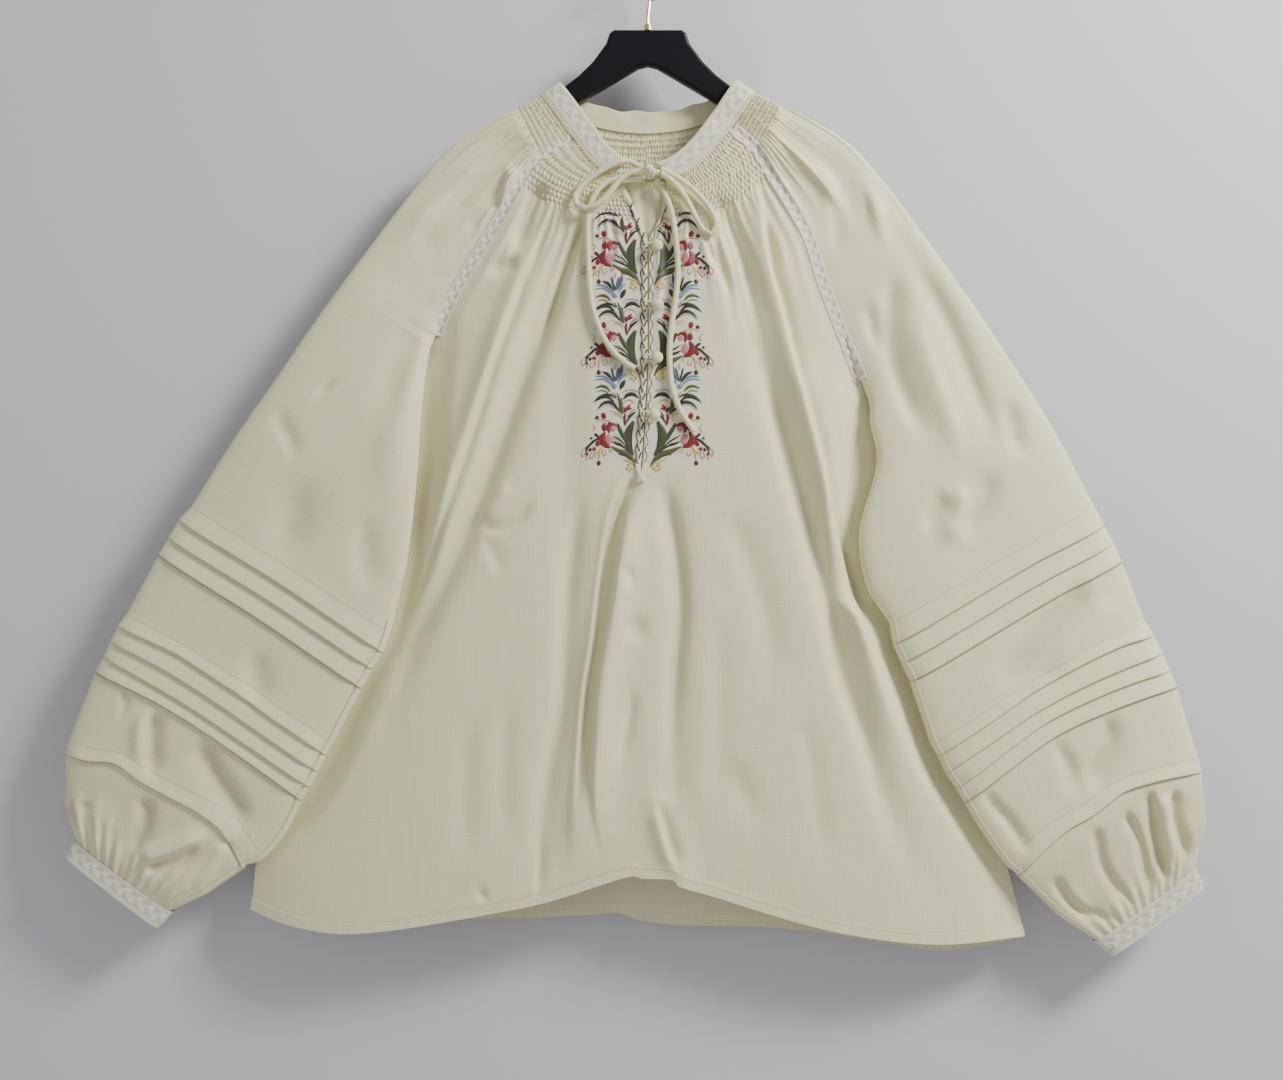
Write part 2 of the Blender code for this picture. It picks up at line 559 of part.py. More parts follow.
def make_sleeve(side, name, material, collection):
    """A sleeve's faces and folds, above and below the armpit, parted by a hair's gap."""
    rows, relief = [], []
    for r, (ring, raised) in enumerate(sleeve_rings()):
        row = sleeve_ring(side, ring)
        puckers = zigzag(SLEEVE_COLUMNS, 0)
        if r <= SLEEVE_SMOCK_ROWS:
            puckers = zigzag(SLEEVE_COLUMNS, r)
        elif ring <= 2:
            puckers = puckers * 0.4
        else:
            gather = smoothstep((ring - GATHER_RINGS[0]) / 1.2) * (ring < GATHER_RINGS[-1])
            puckers = puckers * gather * GATHER_HEIGHT / SMOCK_HEIGHT
        if ring < ARMPIT_RING:
            puckers[[0, -1]] = 0.0
        rows.append(row)
        relief.append(raised + puckers)
    rings = [ring for ring, raised in sleeve_rings()]
    cuts = [0] + [rings.index(float(ring)) for ring in SLEEVE_CUTS] + [len(rings) - 1]
    tube = cuts[SLEEVE_CUTS.index(ARMPIT_RING) + 1]
    fold = SLEEVE_COLUMNS // 2
    near = FOLD_COLUMNS
    every = list(range(SLEEVE_COLUMNS + 1))
    pieces = [("outer_fold", every[fold - near:fold + near + 1], 0, cuts[-1], (side, 0, 0)),
              ("inner_fold", every[-1 - near:-1] + every[:near + 1], tube, cuts[-1], (-side, 0, 0))]
    for word, first, last in zip(SLEEVE_PARTS, cuts, cuts[1:]):
        ends = 0 if first < tube else near
        pieces.append((f"front_{word}", every[ends:fold - near + 1], first, last, (0, -1, 0)))
        pieces.append((f"rear_{word}", every[fold + near:SLEEVE_COLUMNS + 1 - ends], first, last,
                       (0, 1, 0)))
    for word, places, first, last, toward in pieces:
        piece = np.array(rows)[first:last + 1, places]
        heights = np.array(relief)[first:last + 1, places]
        for edge, beside in ((0, 1), (-1, -2)):
            piece[:, edge] += parting(piece[:, edge], piece[:, beside])
        if first > 0:
            piece[0] += ROW_PARTING * parting(piece[0], piece[1])
        if last < cuts[-1]:
            piece[-1] += ROW_PARTING * parting(piece[-1], piece[-2])
        shell(f"{name}_{word}", list(piece), list(heights), WALL, toward, material, collection)


def parting(edge, beside):
    """The step that draws an edge back from its neighbour by half the gap at a fold."""
    way = beside - edge
    return way / np.linalg.norm(way, axis=-1, keepdims=True) * FOLD_GAP / 2


def cuff_ring(side, drop, lift):
    """A ring of a cuff, drop of the way down it, moved out by lift."""
    top = np.array(SLEEVE_RINGS[side][-1], float)
    low = np.array(CUFF_LOWER[side], float)
    outer = top[0:2] + (low[0:2] - top[0:2]) * drop
    inner = top[2:4] + (low[2:4] - top[2:4]) * drop
    along = (inner - outer) / np.linalg.norm(inner - outer)
    outer, inner = outer - along * lift, inner + along * lift
    half = SLEEVE_COLUMNS // 2
    shares = (1 - np.cos(pi * np.arange(half + 1) / half)) / 2
    lens = flat_tube(shares)
    points = []
    for sign in (-1, 1):
        x = outer[0] + (inner[0] - outer[0]) * shares
        z = outer[1] + (inner[1] - outer[1]) * shares
        middle = top[8] + (top[9] - top[8]) * shares
        points.append(np.column_stack([x, middle + sign * (top[6] + lift) * lens, z]))
    return np.vstack([points[0][::-1], points[1][1:]])


def make_band(name, side, drops, lift, wall, material, collection):
    """A closed band round a wrist."""
    rows = [cuff_ring(side, drop, lift) for drop in drops]
    relief = [np.zeros(len(row)) for row in rows]
    welds = [((r, 0), (r, SLEEVE_COLUMNS)) for r in range(len(rows))]
    shell(name, rows, relief, wall, (0, -1, 0), material, collection, welds)


def collar_seam():
    """Points of the neck seam from the left front end round the back to the right one."""
    points = []
    for side in (-1, 1):
        front = front_half(side)[0]
        front = front[np.abs(front[:, 0]) > (29 if side < 0 else 21)]
        top = sleeve_ring(side, 0.0)
        back = back_half(side)[0][::-1]
        half = np.vstack([front[:-1], top[1:-1], back])
        points.append(half)
    return points


def collar_rows(lift, low, high, count):
    """Rows of the collar band, moved out by lift, from share low to share high of its depth."""
    halves = []
    for side, seam in zip((-1, 1), collar_seam()):
        steps = np.linalg.norm(np.diff(seam, axis=0), axis=1)
        travel = np.concatenate([[0.0], np.cumsum(steps)])
        evenly = np.linspace(0, travel[-1], 25)
        line = np.column_stack([np.interp(evenly, travel, seam[:, k]) for k in range(3)])
        angles = np.radians(np.interp(evenly / travel[-1], *zip(*BAND_ANGLES)))
        up = np.column_stack([-side * np.cos(angles), np.zeros(len(line)), np.sin(angles)])
        along = np.gradient(line, axis=0)
        out = side * np.cross(along, up)
        out /= np.linalg.norm(out, axis=1)[:, None]
        halves.append((line, up, out))
    rows = []
    for share in np.linspace(low, high, count):
        half_rows = []
        for line, up, out in halves:
            half_rows.append(line + up * (SEAM_GAP + 0.3 + BAND_DEPTH * share) + out * lift)
        middle = (half_rows[0][-1] + half_rows[1][-1]) / 2
        rows.append(np.vstack([half_rows[0][:-1], middle, half_rows[1][:-1][::-1]]))
    return rows


def make_collar(name, lift, low, high, wall, material, collection):
    """The stand collar or its lace, open at the front."""
    rows = collar_rows(lift, low, high, 2)
    relief = [np.zeros(len(row)) for row in rows]
    shell(name, rows, relief, wall, (0, -1, 0), material, collection)


def make_raglan_lace(side, name, material, collection):
    """Lace along the front raglan seam, resting on the sleeve and on the front."""
    rows = []
    for ring in LACE_RINGS:
        values = ring_values(side, ring)
        seam, outer = values[2:4], values[0:2]
        after = ring_values(side, ring + 0.05)[2:4]
        along = (after - seam) / np.linalg.norm(after - seam)
        across = np.array([-along[1], along[0]])
        if across[0] * side > 0:
            across = -across
        length = np.linalg.norm(outer - seam)
        lift = WALL + LACE_LIFT + SMOCK_HEIGHT * (1 - smoothstep((ring - 2.0) / 1.2))
        row = []
        for offset in (-5.8, -3.0, 0.0, 3.0, 5.8):
            if offset < 0:
                share = np.array([0.0, 1 + offset / length])
                point = sleeve_ring(side, ring, 2, share)[0]
                row.append((point[0], point[1] - lift, point[2]))
            else:
                x, z = seam + across * offset
                row.append((x, float(front_depth(side, x, z)) - lift, z))
        rows.append(np.array(row))
    relief = [np.zeros(5) for _ in rows]
    shell(name, rows, relief, LACE_WALL, (0, -1, 0), material, collection)


def make_binding(side, name, material, collection):
    """The bound edge of the slit, resting on the front."""
    rows = []
    for z in np.linspace(-228, SLIT_BOTTOM_Z + 1, 10):
        edge = slit_x(side, z) + side * 0.3
        lift = WALL + TRIM_LIFT + 0.8 * smoothstep((z + 300) / 50)
        row = []
        for offset in (0.0, BINDING_WIDTH / 2, BINDING_WIDTH):
            x = edge + side * offset
            row.append((x, float(front_depth(side, x, z)) - lift, z))
        rows.append(np.array(row))
    relief = [np.array([0.0, 0.5, 0.0]) for _ in rows]
    shell(name, rows, relief, 0.9, (0, -1, 0), material, collection)


def front_surface(x, z):
    """The y of the outside of the front at one point."""
    side = -1 if x < 0 else 1
    return float(front_depth(side, x, z)) - WALL


def make_button(index, x, z, material, collection):
    """A cloth-covered ball button, on its loop."""
    y = loop_y(x, z) - LOOP_DIAMETER / 2 - TRIM_LIFT - BUTTON_DEPTH / 2
    make_ball(f"button_{index}", (x, y, z), (BUTTON_DIAMETER, BUTTON_DEPTH, BUTTON_DIAMETER),
              (10, 6), material, collection)


def make_ball(name, centre, size, grid, material, collection):
    """A ball squeezed to a size, made on the spot."""
    bpy.ops.mesh.primitive_uv_sphere_add(segments=grid[0], ring_count=grid[1], radius=0.5)
    ball = bpy.context.object
    ball.name = name
    for vertex in ball.data.vertices:
        vertex.co = [(vertex.co[k] * size[k] + centre[k]) * MM for k in range(3)]
    ball.data.shade_smooth()
    ball.data.materials.append(material)
    move_to(ball, collection)


def loop_y(x, z):
    """The y of the middle of a button's loop, over the slit's bindings."""
    return front_surface(x, z) - 2.2 - 0.8 * float(smoothstep((z + 300) / 50)) - LOOP_DIAMETER / 2


def move_to(thing, collection):
    """Link an object to one collection alone."""
    for other in list(thing.users_collection):
        other.objects.unlink(thing)
    collection.objects.link(thing)


def make_tube(name, points, diameter, sides, material, collection):
    """A round cord or wire along points in millimetres."""
    curve = bpy.data.curves.new(name, "CURVE")
    curve.dimensions = "3D"
    curve.bevel_depth = diameter / 2 * MM
    curve.bevel_resolution = sides
    curve.use_fill_caps = True
    spline = curve.splines.new("POLY")
    spline.points.add(len(points) - 1)
    for point, place_of in zip(spline.points, points):
        point.co = (place_of[0] * MM, place_of[1] * MM, place_of[2] * MM, 1.0)
    curve.materials.append(material)
    thing = bpy.data.objects.new(name, curve)
    collection.objects.link(thing)


def tie_points(route):
    """A tie's points, evenly spaced: its route in x, z and height, laid over the front."""
    raised = []
    for x, z, height in route:
        y = front_surface(x, z) - TIE_CLEARANCE - TIE_DIAMETER / 2 - height
        raised.append((x, y, z))
    path = smooth_path(raised, 6)
    steps = np.linalg.norm(np.diff(path, axis=0), axis=1)
    travel = np.concatenate([[0.0], np.cumsum(steps)])
    places = np.linspace(0, travel[-1], int(travel[-1] / TIE_SPACING) + 2)
    return np.column_stack([np.interp(places, travel, path[:, k]) for k in range(3)])


def make_button_loop(index, x, z, material, collection):
    """A cord loop from the left binding round the foot of a button."""
    y = loop_y(x, z)
    start = slit_x(-1, z) - 3.0
    points = [(start, y, z + LOOP_HALF_WIDTH)]
    for step in range(5):
        turn = radians(90 - step * 45)
        points.append((x + LOOP_HALF_WIDTH * cos(turn), y, z + LOOP_HALF_WIDTH * sin(turn)))
    points.append((start, y, z - LOOP_HALF_WIDTH))
    make_tube(f"button_loop_{index}", points, LOOP_DIAMETER, 2, material, collection)


def make_hanger(wood, gold, collection):
    """The wooden hanger, its ferrule and its wire hook."""
    outline = HANGER_OUTLINE + [(-x, z) for x, z in reversed(HANGER_OUTLINE[1:-1])]
    bm = bmesh.new()
    half = HANGER_THICKNESS / 2
    face = bm.faces.new([bm.verts.new((x * MM, -half * MM, z * MM)) for x, z in outline])
    pushed = bmesh.ops.extrude_face_region(bm, geom=[face])
    moved = [item for item in pushed["geom"] if isinstance(item, bmesh.types.BMVert)]
    bmesh.ops.translate(bm, verts=moved, vec=(0, HANGER_THICKNESS * MM, 0))
    bmesh.ops.recalc_face_normals(bm, faces=bm.faces[:])
    mesh = bpy.data.meshes.new("hanger_body")
    bm.to_mesh(mesh)
    bm.free()
    body = place("hanger_body", mesh, wood, collection)
    bevel = body.modifiers.new("rounded", "BEVEL")
    bevel.width = HANGER_BEVEL * MM
    bevel.segments = 2
    bevel.limit_method = "ANGLE"
    bevel.angle_limit = radians(50)
    top = HANGER_OUTLINE[0][1]
    bpy.ops.mesh.primitive_cylinder_add(vertices=16, radius=FERRULE_DIAMETER / 2 * MM,
                                        depth=5.0 * MM, location=(0, 0, (top + 2.9) * MM))
    ferrule = bpy.context.object
    ferrule.name = "hanger_ferrule"
    ferrule.data.materials.append(gold)
    move_to(ferrule, collection)
    centre = WIRE_DIAMETER / 2 - HOOK_RADIUS
    points = [(0, 0, top + 5.8), (0, 0, top + 12), (1.5, 0, centre - HOOK_RADIUS - 1.5)]
    for step in range(15):
        turn = radians(-68 + step * 238 / 14)
        points.append((HOOK_RADIUS * cos(turn), 0, centre + HOOK_RADIUS * sin(turn)))
    make_tube("hanger_hook", points, WIRE_DIAMETER, 2, gold, collection)


def build():
    """Make every piece of the blouse and its hanger."""
    for old in list(bpy.data.objects):
        bpy.data.objects.remove(old)
    collection = bpy.data.collections.new("embroidered_shirt")
    bpy.context.scene.collection.children.link(collection)
    cloth = make_material("cloth")
    lace = make_material("lace")
    thread = make_material("thread")
    wood = make_material("wood")
    gold = make_material("gold")

    make_front(cloth, collection)
    make_back(cloth, collection)
    for side, word in ((-1, "left"), (1, "right")):
        make_sleeve(side, f"sleeve_{word}", cloth, collection)
        make_band(f"cuff_{word}", side, (CUFF_TOP, 1.0), 0.0, WALL, cloth, collection)
        make_band(f"cuff_lace_{word}", side, (CUFF_TOP + 0.08, 1.02), WALL + TRIM_LIFT,
                  LACE_WALL, lace, collection)
        make_raglan_lace(side, f"raglan_lace_{word}", lace, collection)
        make_binding(side, f"slit_binding_{word}", thread, collection)
    make_collar("collar_band", 0.0, 0.0, 1.0, BAND_WALL, cloth, collection)
    make_collar("collar_lace", BAND_WALL + TRIM_LIFT, 0.08, 0.94, LACE_WALL, lace, collection)
    for index, (x, z) in enumerate(BUTTON_PLACES, 1):
        make_button(index, x, z, cloth, collection)
        make_button_loop(index, x, z, cloth, collection)
    for name, route in TIE_ROUTES.items():
        make_tube(name, tie_points(route), TIE_DIAMETER, 2, cloth, collection)
    x, z = KNOT_PLACE
    knot = (x, front_surface(x, z) - TIE_CLEARANCE - KNOT_SIZE[1] / 2, z)
    make_ball("tie_knot", knot, KNOT_SIZE, (10, 6), cloth, collection)
    make_hanger(wood, gold, collection)


build()
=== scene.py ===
"""Looks of a smocked peasant blouse with raglan bishop sleeves on a wooden hanger.

The origin is the bearing point inside the top of the hook. +X is to the right as seen from
the front, +Z is up, and the front of the blouse faces -Y. Tables are in millimetres, and a
mesh turns into metres when it is made. Left and right are as seen from the front.
"""
from math import cos, pi, radians, sin

import bpy
import numpy as np
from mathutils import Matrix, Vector
from mathutils.bvhtree import BVHTree

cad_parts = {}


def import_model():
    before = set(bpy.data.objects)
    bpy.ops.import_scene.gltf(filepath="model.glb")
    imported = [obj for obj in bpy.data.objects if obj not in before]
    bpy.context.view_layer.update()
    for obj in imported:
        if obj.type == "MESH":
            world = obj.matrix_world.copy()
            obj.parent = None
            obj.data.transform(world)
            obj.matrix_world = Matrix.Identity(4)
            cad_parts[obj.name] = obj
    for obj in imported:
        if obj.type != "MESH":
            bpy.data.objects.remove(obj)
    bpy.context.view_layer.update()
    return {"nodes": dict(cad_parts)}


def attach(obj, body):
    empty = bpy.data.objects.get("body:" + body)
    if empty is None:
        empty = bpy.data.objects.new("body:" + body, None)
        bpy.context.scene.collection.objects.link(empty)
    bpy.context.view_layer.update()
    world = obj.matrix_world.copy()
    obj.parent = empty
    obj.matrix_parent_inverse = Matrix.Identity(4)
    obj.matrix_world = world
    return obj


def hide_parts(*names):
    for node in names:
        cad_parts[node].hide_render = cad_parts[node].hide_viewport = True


MM = 0.001
SIDES = ((-1, "left"), (1, "right"))

# Cloth thicknesses and clearances
WALL = 1.2
SEAM_GAP = 0.4
TRIM_LIFT = 0.4
SLEEVE_CLEARANCE = 4.2
ARMPIT_GAP = 0.3

# Grid sizes of the coarse neck lines, in faces
FRONT_HALF_COLUMNS = 20
BACK_HALF_COLUMNS = 16
SLEEVE_COLUMNS = 22

# Collar band, its ties, the slit and its buttons
BAND_DEPTH = 18.5
TIE_DIAMETER = 5.0
SLIT_BOTTOM_Z = -444.0
BINDING_TOP_Z = -206.0
BINDING_WIDTHS = {-1: 5.4, 1: 3.0}
BUTTON_DIAMETER = 10.0
BUTTON_DEPTH = 7.0
BUTTON_PLACES = [(7.6, -254.0), (8.0, -303.0), (7.6, -348.0), (5.5, -396.0)]
LOOP_DIAMETER = 1.8
LOOP_HALF_WIDTH = 2.4

# Side seams below the armpits: x, z
SIDE_SEAM = {
    -1: [(-200, -366), (-214, -410), (-240, -500), (-288, -648), (-342, -819)],
    1: [(201, -408), (214, -448), (248, -562), (288, -702), (325, -842)],
}
# Neck seams: x, z
FRONT_NECK = {
    -1: [(-24, -193), (-37, -189), (-46, -182), (-54, -173), (-62, -160)],
    1: [(17, -195), (30, -191), (44, -182), (58, -167), (70, -150)],
}
BACK_NECK = [(-70, -137), (-50, -142), (-28, -147), (0, -149), (30, -146), (52, -140), (72, -134)]
# Hems: x, z
FRONT_HEM = [(-342, -819), (-311, -829), (-266, -835), (-222, -832), (-178, -825), (-133, -817),
             (-88, -808), (-44, -794), (-22, -787), (-9, -785), (-7, -787), (21, -788), (26, -793),
             (67, -806), (129, -825), (178, -836), (245, -844), (325, -842)]
BACK_HEM = [(-342, -820), (-253, -835), (-200, -832), (-133, -830), (-88, -827), (-44, -820),
            (-26, -817), (-8, -822), (45, -830), (147, -842), (245, -857), (289, -853), (325, -844)]
HEM_CENTRE_Z = -786.0
# Slit: z, x of its left edge and x of its right edge
SLIT_EDGES = [(-193, -24, 17), (-210, -16, 14), (-226, -8, 11), (-247, -0.4, 0.4),
              (-350, -0.4, 0.4), (-400, -2.9, -2.1), (-444, -6.4, -5.6)]
# Centre line below the slit: z, x
CENTRE_LINE = [(-444, -6), (-600, -8), (-790, -8)]

# Depth of the front and back of the body: z, y at the centre
FRONT_CENTRE_DEPTH = [(-190, -19), (-300, -18), (-444, -19), (-600, -21), (-845, -22)]
BACK_CENTRE_DEPTH = [(-140, 12), (-300, 10), (-600, 11), (-860, 12)]
# Depth at the edges: z, y at the front seam and y at the back seam
EDGE_DEPTH = {
    -1: [(-140, -14, 9.5), (-178, -13, 10), (-227, -11.5, 10), (-280, -9, 8), (-304, -6, 5),
         (-333, -1, 1.2), (-378, 1.2, 3.2), (-482, 2.0, 3.8), (-860, 2.0, 3.8)],
    1: [(-134, -14, 9.5), (-171, -13, 10), (-223, -11.5, 10), (-300, -9, 8), (-344, -6, 5),
        (-378, -1, 1.2), (-432, 1.2, 3.2), (-562, 2.0, 3.8), (-870, 2.0, 3.8)],
}
ARMPIT_Z = {-1: -332.0, 1: -377.0}
# Depth of the front where a sleeve lies on it, and the line x, z where the sleeve begins
COVERED_DEPTH = -1.0
COVER_LINE = {
    -1: [(-184, -333), (-190, -400), (-196, -500), (-214, -580), (-240, -627), (-290, -722),
         (-341, -781), (-407, -818)],
    1: [(185, -378), (176, -440), (174, -500), (178, -546), (203, -575), (240, -675),
        (266, -724), (312, -787), (382, -843)],
}

# Main folds of the front: height towards the viewer, width to the left, width to the right,
# and the fold's line as x, z
FRONT_FOLDS = [
    (-6.0, 14, 14, [(-71, -221), (-82, -297), (-100, -334), (-130, -427), (-163, -518),
                    (-191, -570), (-224, -651)]),
    (4.0, 8, 14, [(-111, -297), (-130, -353), (-148, -411), (-173, -482), (-192, -537),
                  (-207, -574)]),
    (-3.0, 16, 16, [(-75, -297), (-67, -467), (-64, -574), (-73, -648), (-89, -758),
                    (-93, -795)]),
    (5.0, 7, 20, [(-14, -444), (-26, -463), (-38, -544), (-51, -629), (-57, -703),
                  (-62, -750)]),
    (-3.0, 12, 12, [(12, -444), (23, -498), (25, -586), (23, -722)]),
    (3.0, 10, 12, [(8, -722), (29, -786)]),
    (-5.0, 14, 14, [(63, -225), (98, -353), (123, -430), (145, -518), (173, -616),
                    (201, -714), (230, -796)]),
    (4.5, 14, 8, [(112, -297), (137, -394), (159, -491), (182, -583), (210, -668)]),
]
# Folds of the back: height away from the body, widths and line as for the front
BACK_FOLDS = [
    (-3.5, 16, 16, [(-60, -210), (-95, -400), (-150, -620), (-190, -800)]),
    (3.5, 14, 16, [(-20, -200), (-35, -400), (-60, -640), (-75, -810)]),
    (3.0, 16, 12, [(40, -210), (70, -400), (110, -640), (140, -820)]),
    (-3.5, 14, 16, [(65, -215), (110, -400), (165, -620), (215, -820)]),
]

# Sleeves, a row for each ring from the neck to the cuff: the outer fold's x, z, the front
# seam's x, z, the back seam's x, z, the depth in front and behind, the middle's y at the
# outer and the inner edge, and how far the ring bows up
SLEEVE_RINGS = {
    -1: [
        (-91, -121, -62, -160, -70, -137, 14, 10, 0, 0, 0),
        (-115, -133, -93, -178, -94, -163, 13, 11, 0, 0, 0),
        (-143, -148, -112, -203, -112, -193, 12, 11, 0, 0, 0),
        (-172, -167, -126, -227, -127, -222, 11, 11, 0, 0, 0),
        (-197, -196, -143, -254, -143, -251, 11, 11, 0, 0, 0),
        (-220, -226, -159, -280, -159, -279, 11, 9, -1, -1, 0),
        (-240, -253, -172, -304, -172, -304, 11, 8, -2, -2, 0),
        (-260, -280, -184, -333, -184, -333, 11, 7, -3, -5, 0),
        (-290, -322, -189, -362, -189, -362, 11, 6, -4, -8, 0),
        (-320, -366, -193, -405, -193, -405, 12, 6, -4, -11, 0),
        (-350, -409, -197, -460, -197, -460, 13, 6, -4, -12, 0),
        (-374, -446, -205, -525, -205, -525, 13, 6, -4, -12, 0),
        (-390, -472, -218, -580, -218, -580, 13, 6, -4, -12, 0),
        (-401, -484, -224, -597, -224, -597, 13, 6, -4, -12, 0),
        (-410, -499, -233, -611, -233, -611, 13, 6, -4, -12, 0),
        (-418, -513, -242, -627, -242, -627, 13, 6, -4, -12, 0),
        (-445, -563, -266, -673, -266, -673, 13, 6, -4, -12, 0),
        (-453, -574, -272, -684, -272, -684, 13, 6, -4, -12, 0),
        (-459, -587, -279, -698, -279, -698, 13, 6, -4, -12, 0),
        (-465, -600, -286, -711, -286, -711, 13, 6, -4, -12, 0),
        (-472, -613, -293, -722, -293, -722, 13, 6, -4, -11, 0),
        (-495, -672, -336, -767, -336, -767, 13, 7, -4, -9, 12),
        (-497, -684, -343, -781, -343, -781, 13, 7, -4, -9, 14),
        (-499, -722, -375, -803, -375, -803, 12, 8, -5, -8, 8),
        (-489, -758, -407, -818, -407, -818, 6, 6, -5, -6, 0),
    ],
    1: [
        (91, -119, 70, -150, 72, -134, 14, 10, 0, 0, 0),
        (115, -130, 93, -171, 94, -158, 13, 11, 0, 0, 0),
        (143, -143, 108, -196, 109, -186, 12, 11, 0, 0, 0),
        (172, -161, 125, -223, 125, -217, 11, 11, 0, 0, 0),
        (200, -191, 138, -247, 138, -244, 11, 11, 0, 0, 0),
        (226, -226, 148, -279, 148, -277, 11, 9, -1, -1, 0),
        (254, -265, 163, -318, 163, -318, 11, 8, -2, -2, 0),
        (284, -308, 187, -378, 187, -378, 11, 7, -3, -5, 0),
        (308, -345, 189, -402, 189, -402, 11, 6, -4, -8, 0),
        (332, -382, 194, -437, 194, -437, 12, 6, -4, -11, 0),
        (352, -416, 179, -497, 179, -497, 13, 6, -4, -12, 0),
        (368, -446, 187, -546, 187, -546, 13, 6, -4, -12, 0),
        (382, -473, 205, -572, 205, -572, 13, 6, -4, -12, 0),
        (390, -489, 208, -590, 208, -590, 13, 6, -4, -12, 0),
        (398, -504, 215, -606, 215, -606, 13, 6, -4, -12, 0),
        (405, -519, 222, -621, 222, -621, 13, 6, -4, -12, 0),
        (425, -571, 240, -675, 240, -675, 13, 6, -4, -12, 0),
        (433, -583, 246, -685, 246, -685, 13, 6, -4, -12, 0),
        (440, -598, 252, -699, 252, -699, 13, 6, -4, -12, 0),
        (446, -613, 261, -712, 261, -712, 13, 6, -4, -12, 0),
        (452, -626, 268, -724, 268, -724, 13, 6, -4, -11, 0),
        (470, -687, 307, -774, 307, -774, 13, 7, -4, -9, 14),
        (473, -699, 314, -787, 314, -787, 13, 7, -4, -9, 16),
        (477, -742, 350, -822, 350, -822, 12, 8, -5, -8, 8),
        (468, -781, 382, -843, 382, -843, 6, 6, -5, -6, 0),
    ],
}
ARMPIT_RING = 7
SMOCKED_RING = 2
LAST_RING = 24
UNDERARM_RING = 11.8
# Where the hanger's arms end under the sleeves
HANGER_LOW_Z = -300.0
FRONT_SEAM = 2
BACK_SEAM = 4
# Lower edge of each cuff: the outer corner's x, z and the inner corner's x, z
CUFF_LOWER = {-1: (-496, -772, -419, -831), 1: (474, -798, 397, -855)}

# Angle of the collar band above its seam, from the front end (0) to the centre back (1)
BAND_ANGLES = [(0.0, 36), (0.35, 34), (0.5, 36), (0.62, 46), (0.72, 68), (0.85, 86), (1.0, 90)]

# Where the band begins at the front, how many steps its halves are worked out in, and its seat
COLLAR_START = {-1: 29, 1: 21}
COLLAR_STEPS = 24
BAND_SEAT = 0.3

# Ties: x, z and the height of the middle of the cord over the cloth
TIE_ROUTES = {
    "tie_loop_left": [(-6.6, -187.6, 3), (-12, -184, 3), (-22, -183, 3), (-33, -187, 3),
                      (-45, -194, 2.5), (-54, -201, 1.5), (-61, -209, 1.5), (-62, -217, 3),
                      (-57, -222, 5), (-49, -223, 6.5), (-41, -219, 6.5), (-33, -211, 6.5),
                      (-27, -203, 6.5), (-20, -196, 7), (-12, -192.5, 8), (-6.7, -192.4, 8)],
    "tie_loop_right": [(10.8, -189.4, 3), (17, -192.5, 3), (27, -198, 3), (40, -208, 2),
                       (50, -219, 1), (56, -229, 0.3), (58, -238, 0.3), (55, -243, 0.3),
                       (50, -243, 0.3), (45, -238, 0.3), (40, -229, 1), (33, -216, 3),
                       (26, -206, 5), (18, -199, 8), (10.9, -194.6, 8)],
    "tie_end_left": [(-5.0, -196.4, 1.4), (-15, -196, 1.4), (-26, -197, 1.4), (-38, -202, 1.4),
                     (-45, -210, 1.4), (-49, -221, 1.4), (-51, -234, 1.0), (-50.5, -262, 0.3),
                     (-49, -292, 0.3), (-45, -312, 0.3), (-37, -332, 0.3), (-28, -344, 0.3),
                     (-18, -353, 0.3), (-11, -357, 0.3)],
    "tie_end_right": [(6.6, -198.4, 1.4), (12, -206, 1.4), (16, -214, 1.4), (20, -226, 1.4),
                      (23, -245, 1.0), (25, -268, 0.5), (24, -292, 0.3), (20, -318, 0.3),
                      (18, -345, 0.3), (20, -372, 0.3), (27, -392, 0.3), (34, -403, 0.3),
                      (39, -410, 0.3)],
}
TIE_CLEARANCE = 0.5
TIE_SPACING = 10.0
KNOT_PLACE = (2.0, -191.5)
KNOT_DEPTH = 12.0

# How far the inner edge of each sleeve stands out above its last tuck, and over which rings
INNER_BULGE = {-1: 10.0, 1: 4.0}
BULGE_RING = 20.0
BULGE_RINGS = 1.8

# How square the flattened sleeves and cuffs are
ROUND_POWER = 3.2

# Rings of the sleeves where a tuck is stitched
TUCK_STITCH_RINGS = (12, 16, 21)
TUCK_EDGE_RINGS = (13, 14, 15, 17, 18, 19, 20, 22)
SLEEVE_NODES = ("front_top", "rear_top", "front_upper", "rear_upper", "front_elbow", "rear_elbow",
                "front_lower", "rear_lower", "outer_fold", "inner_fold")

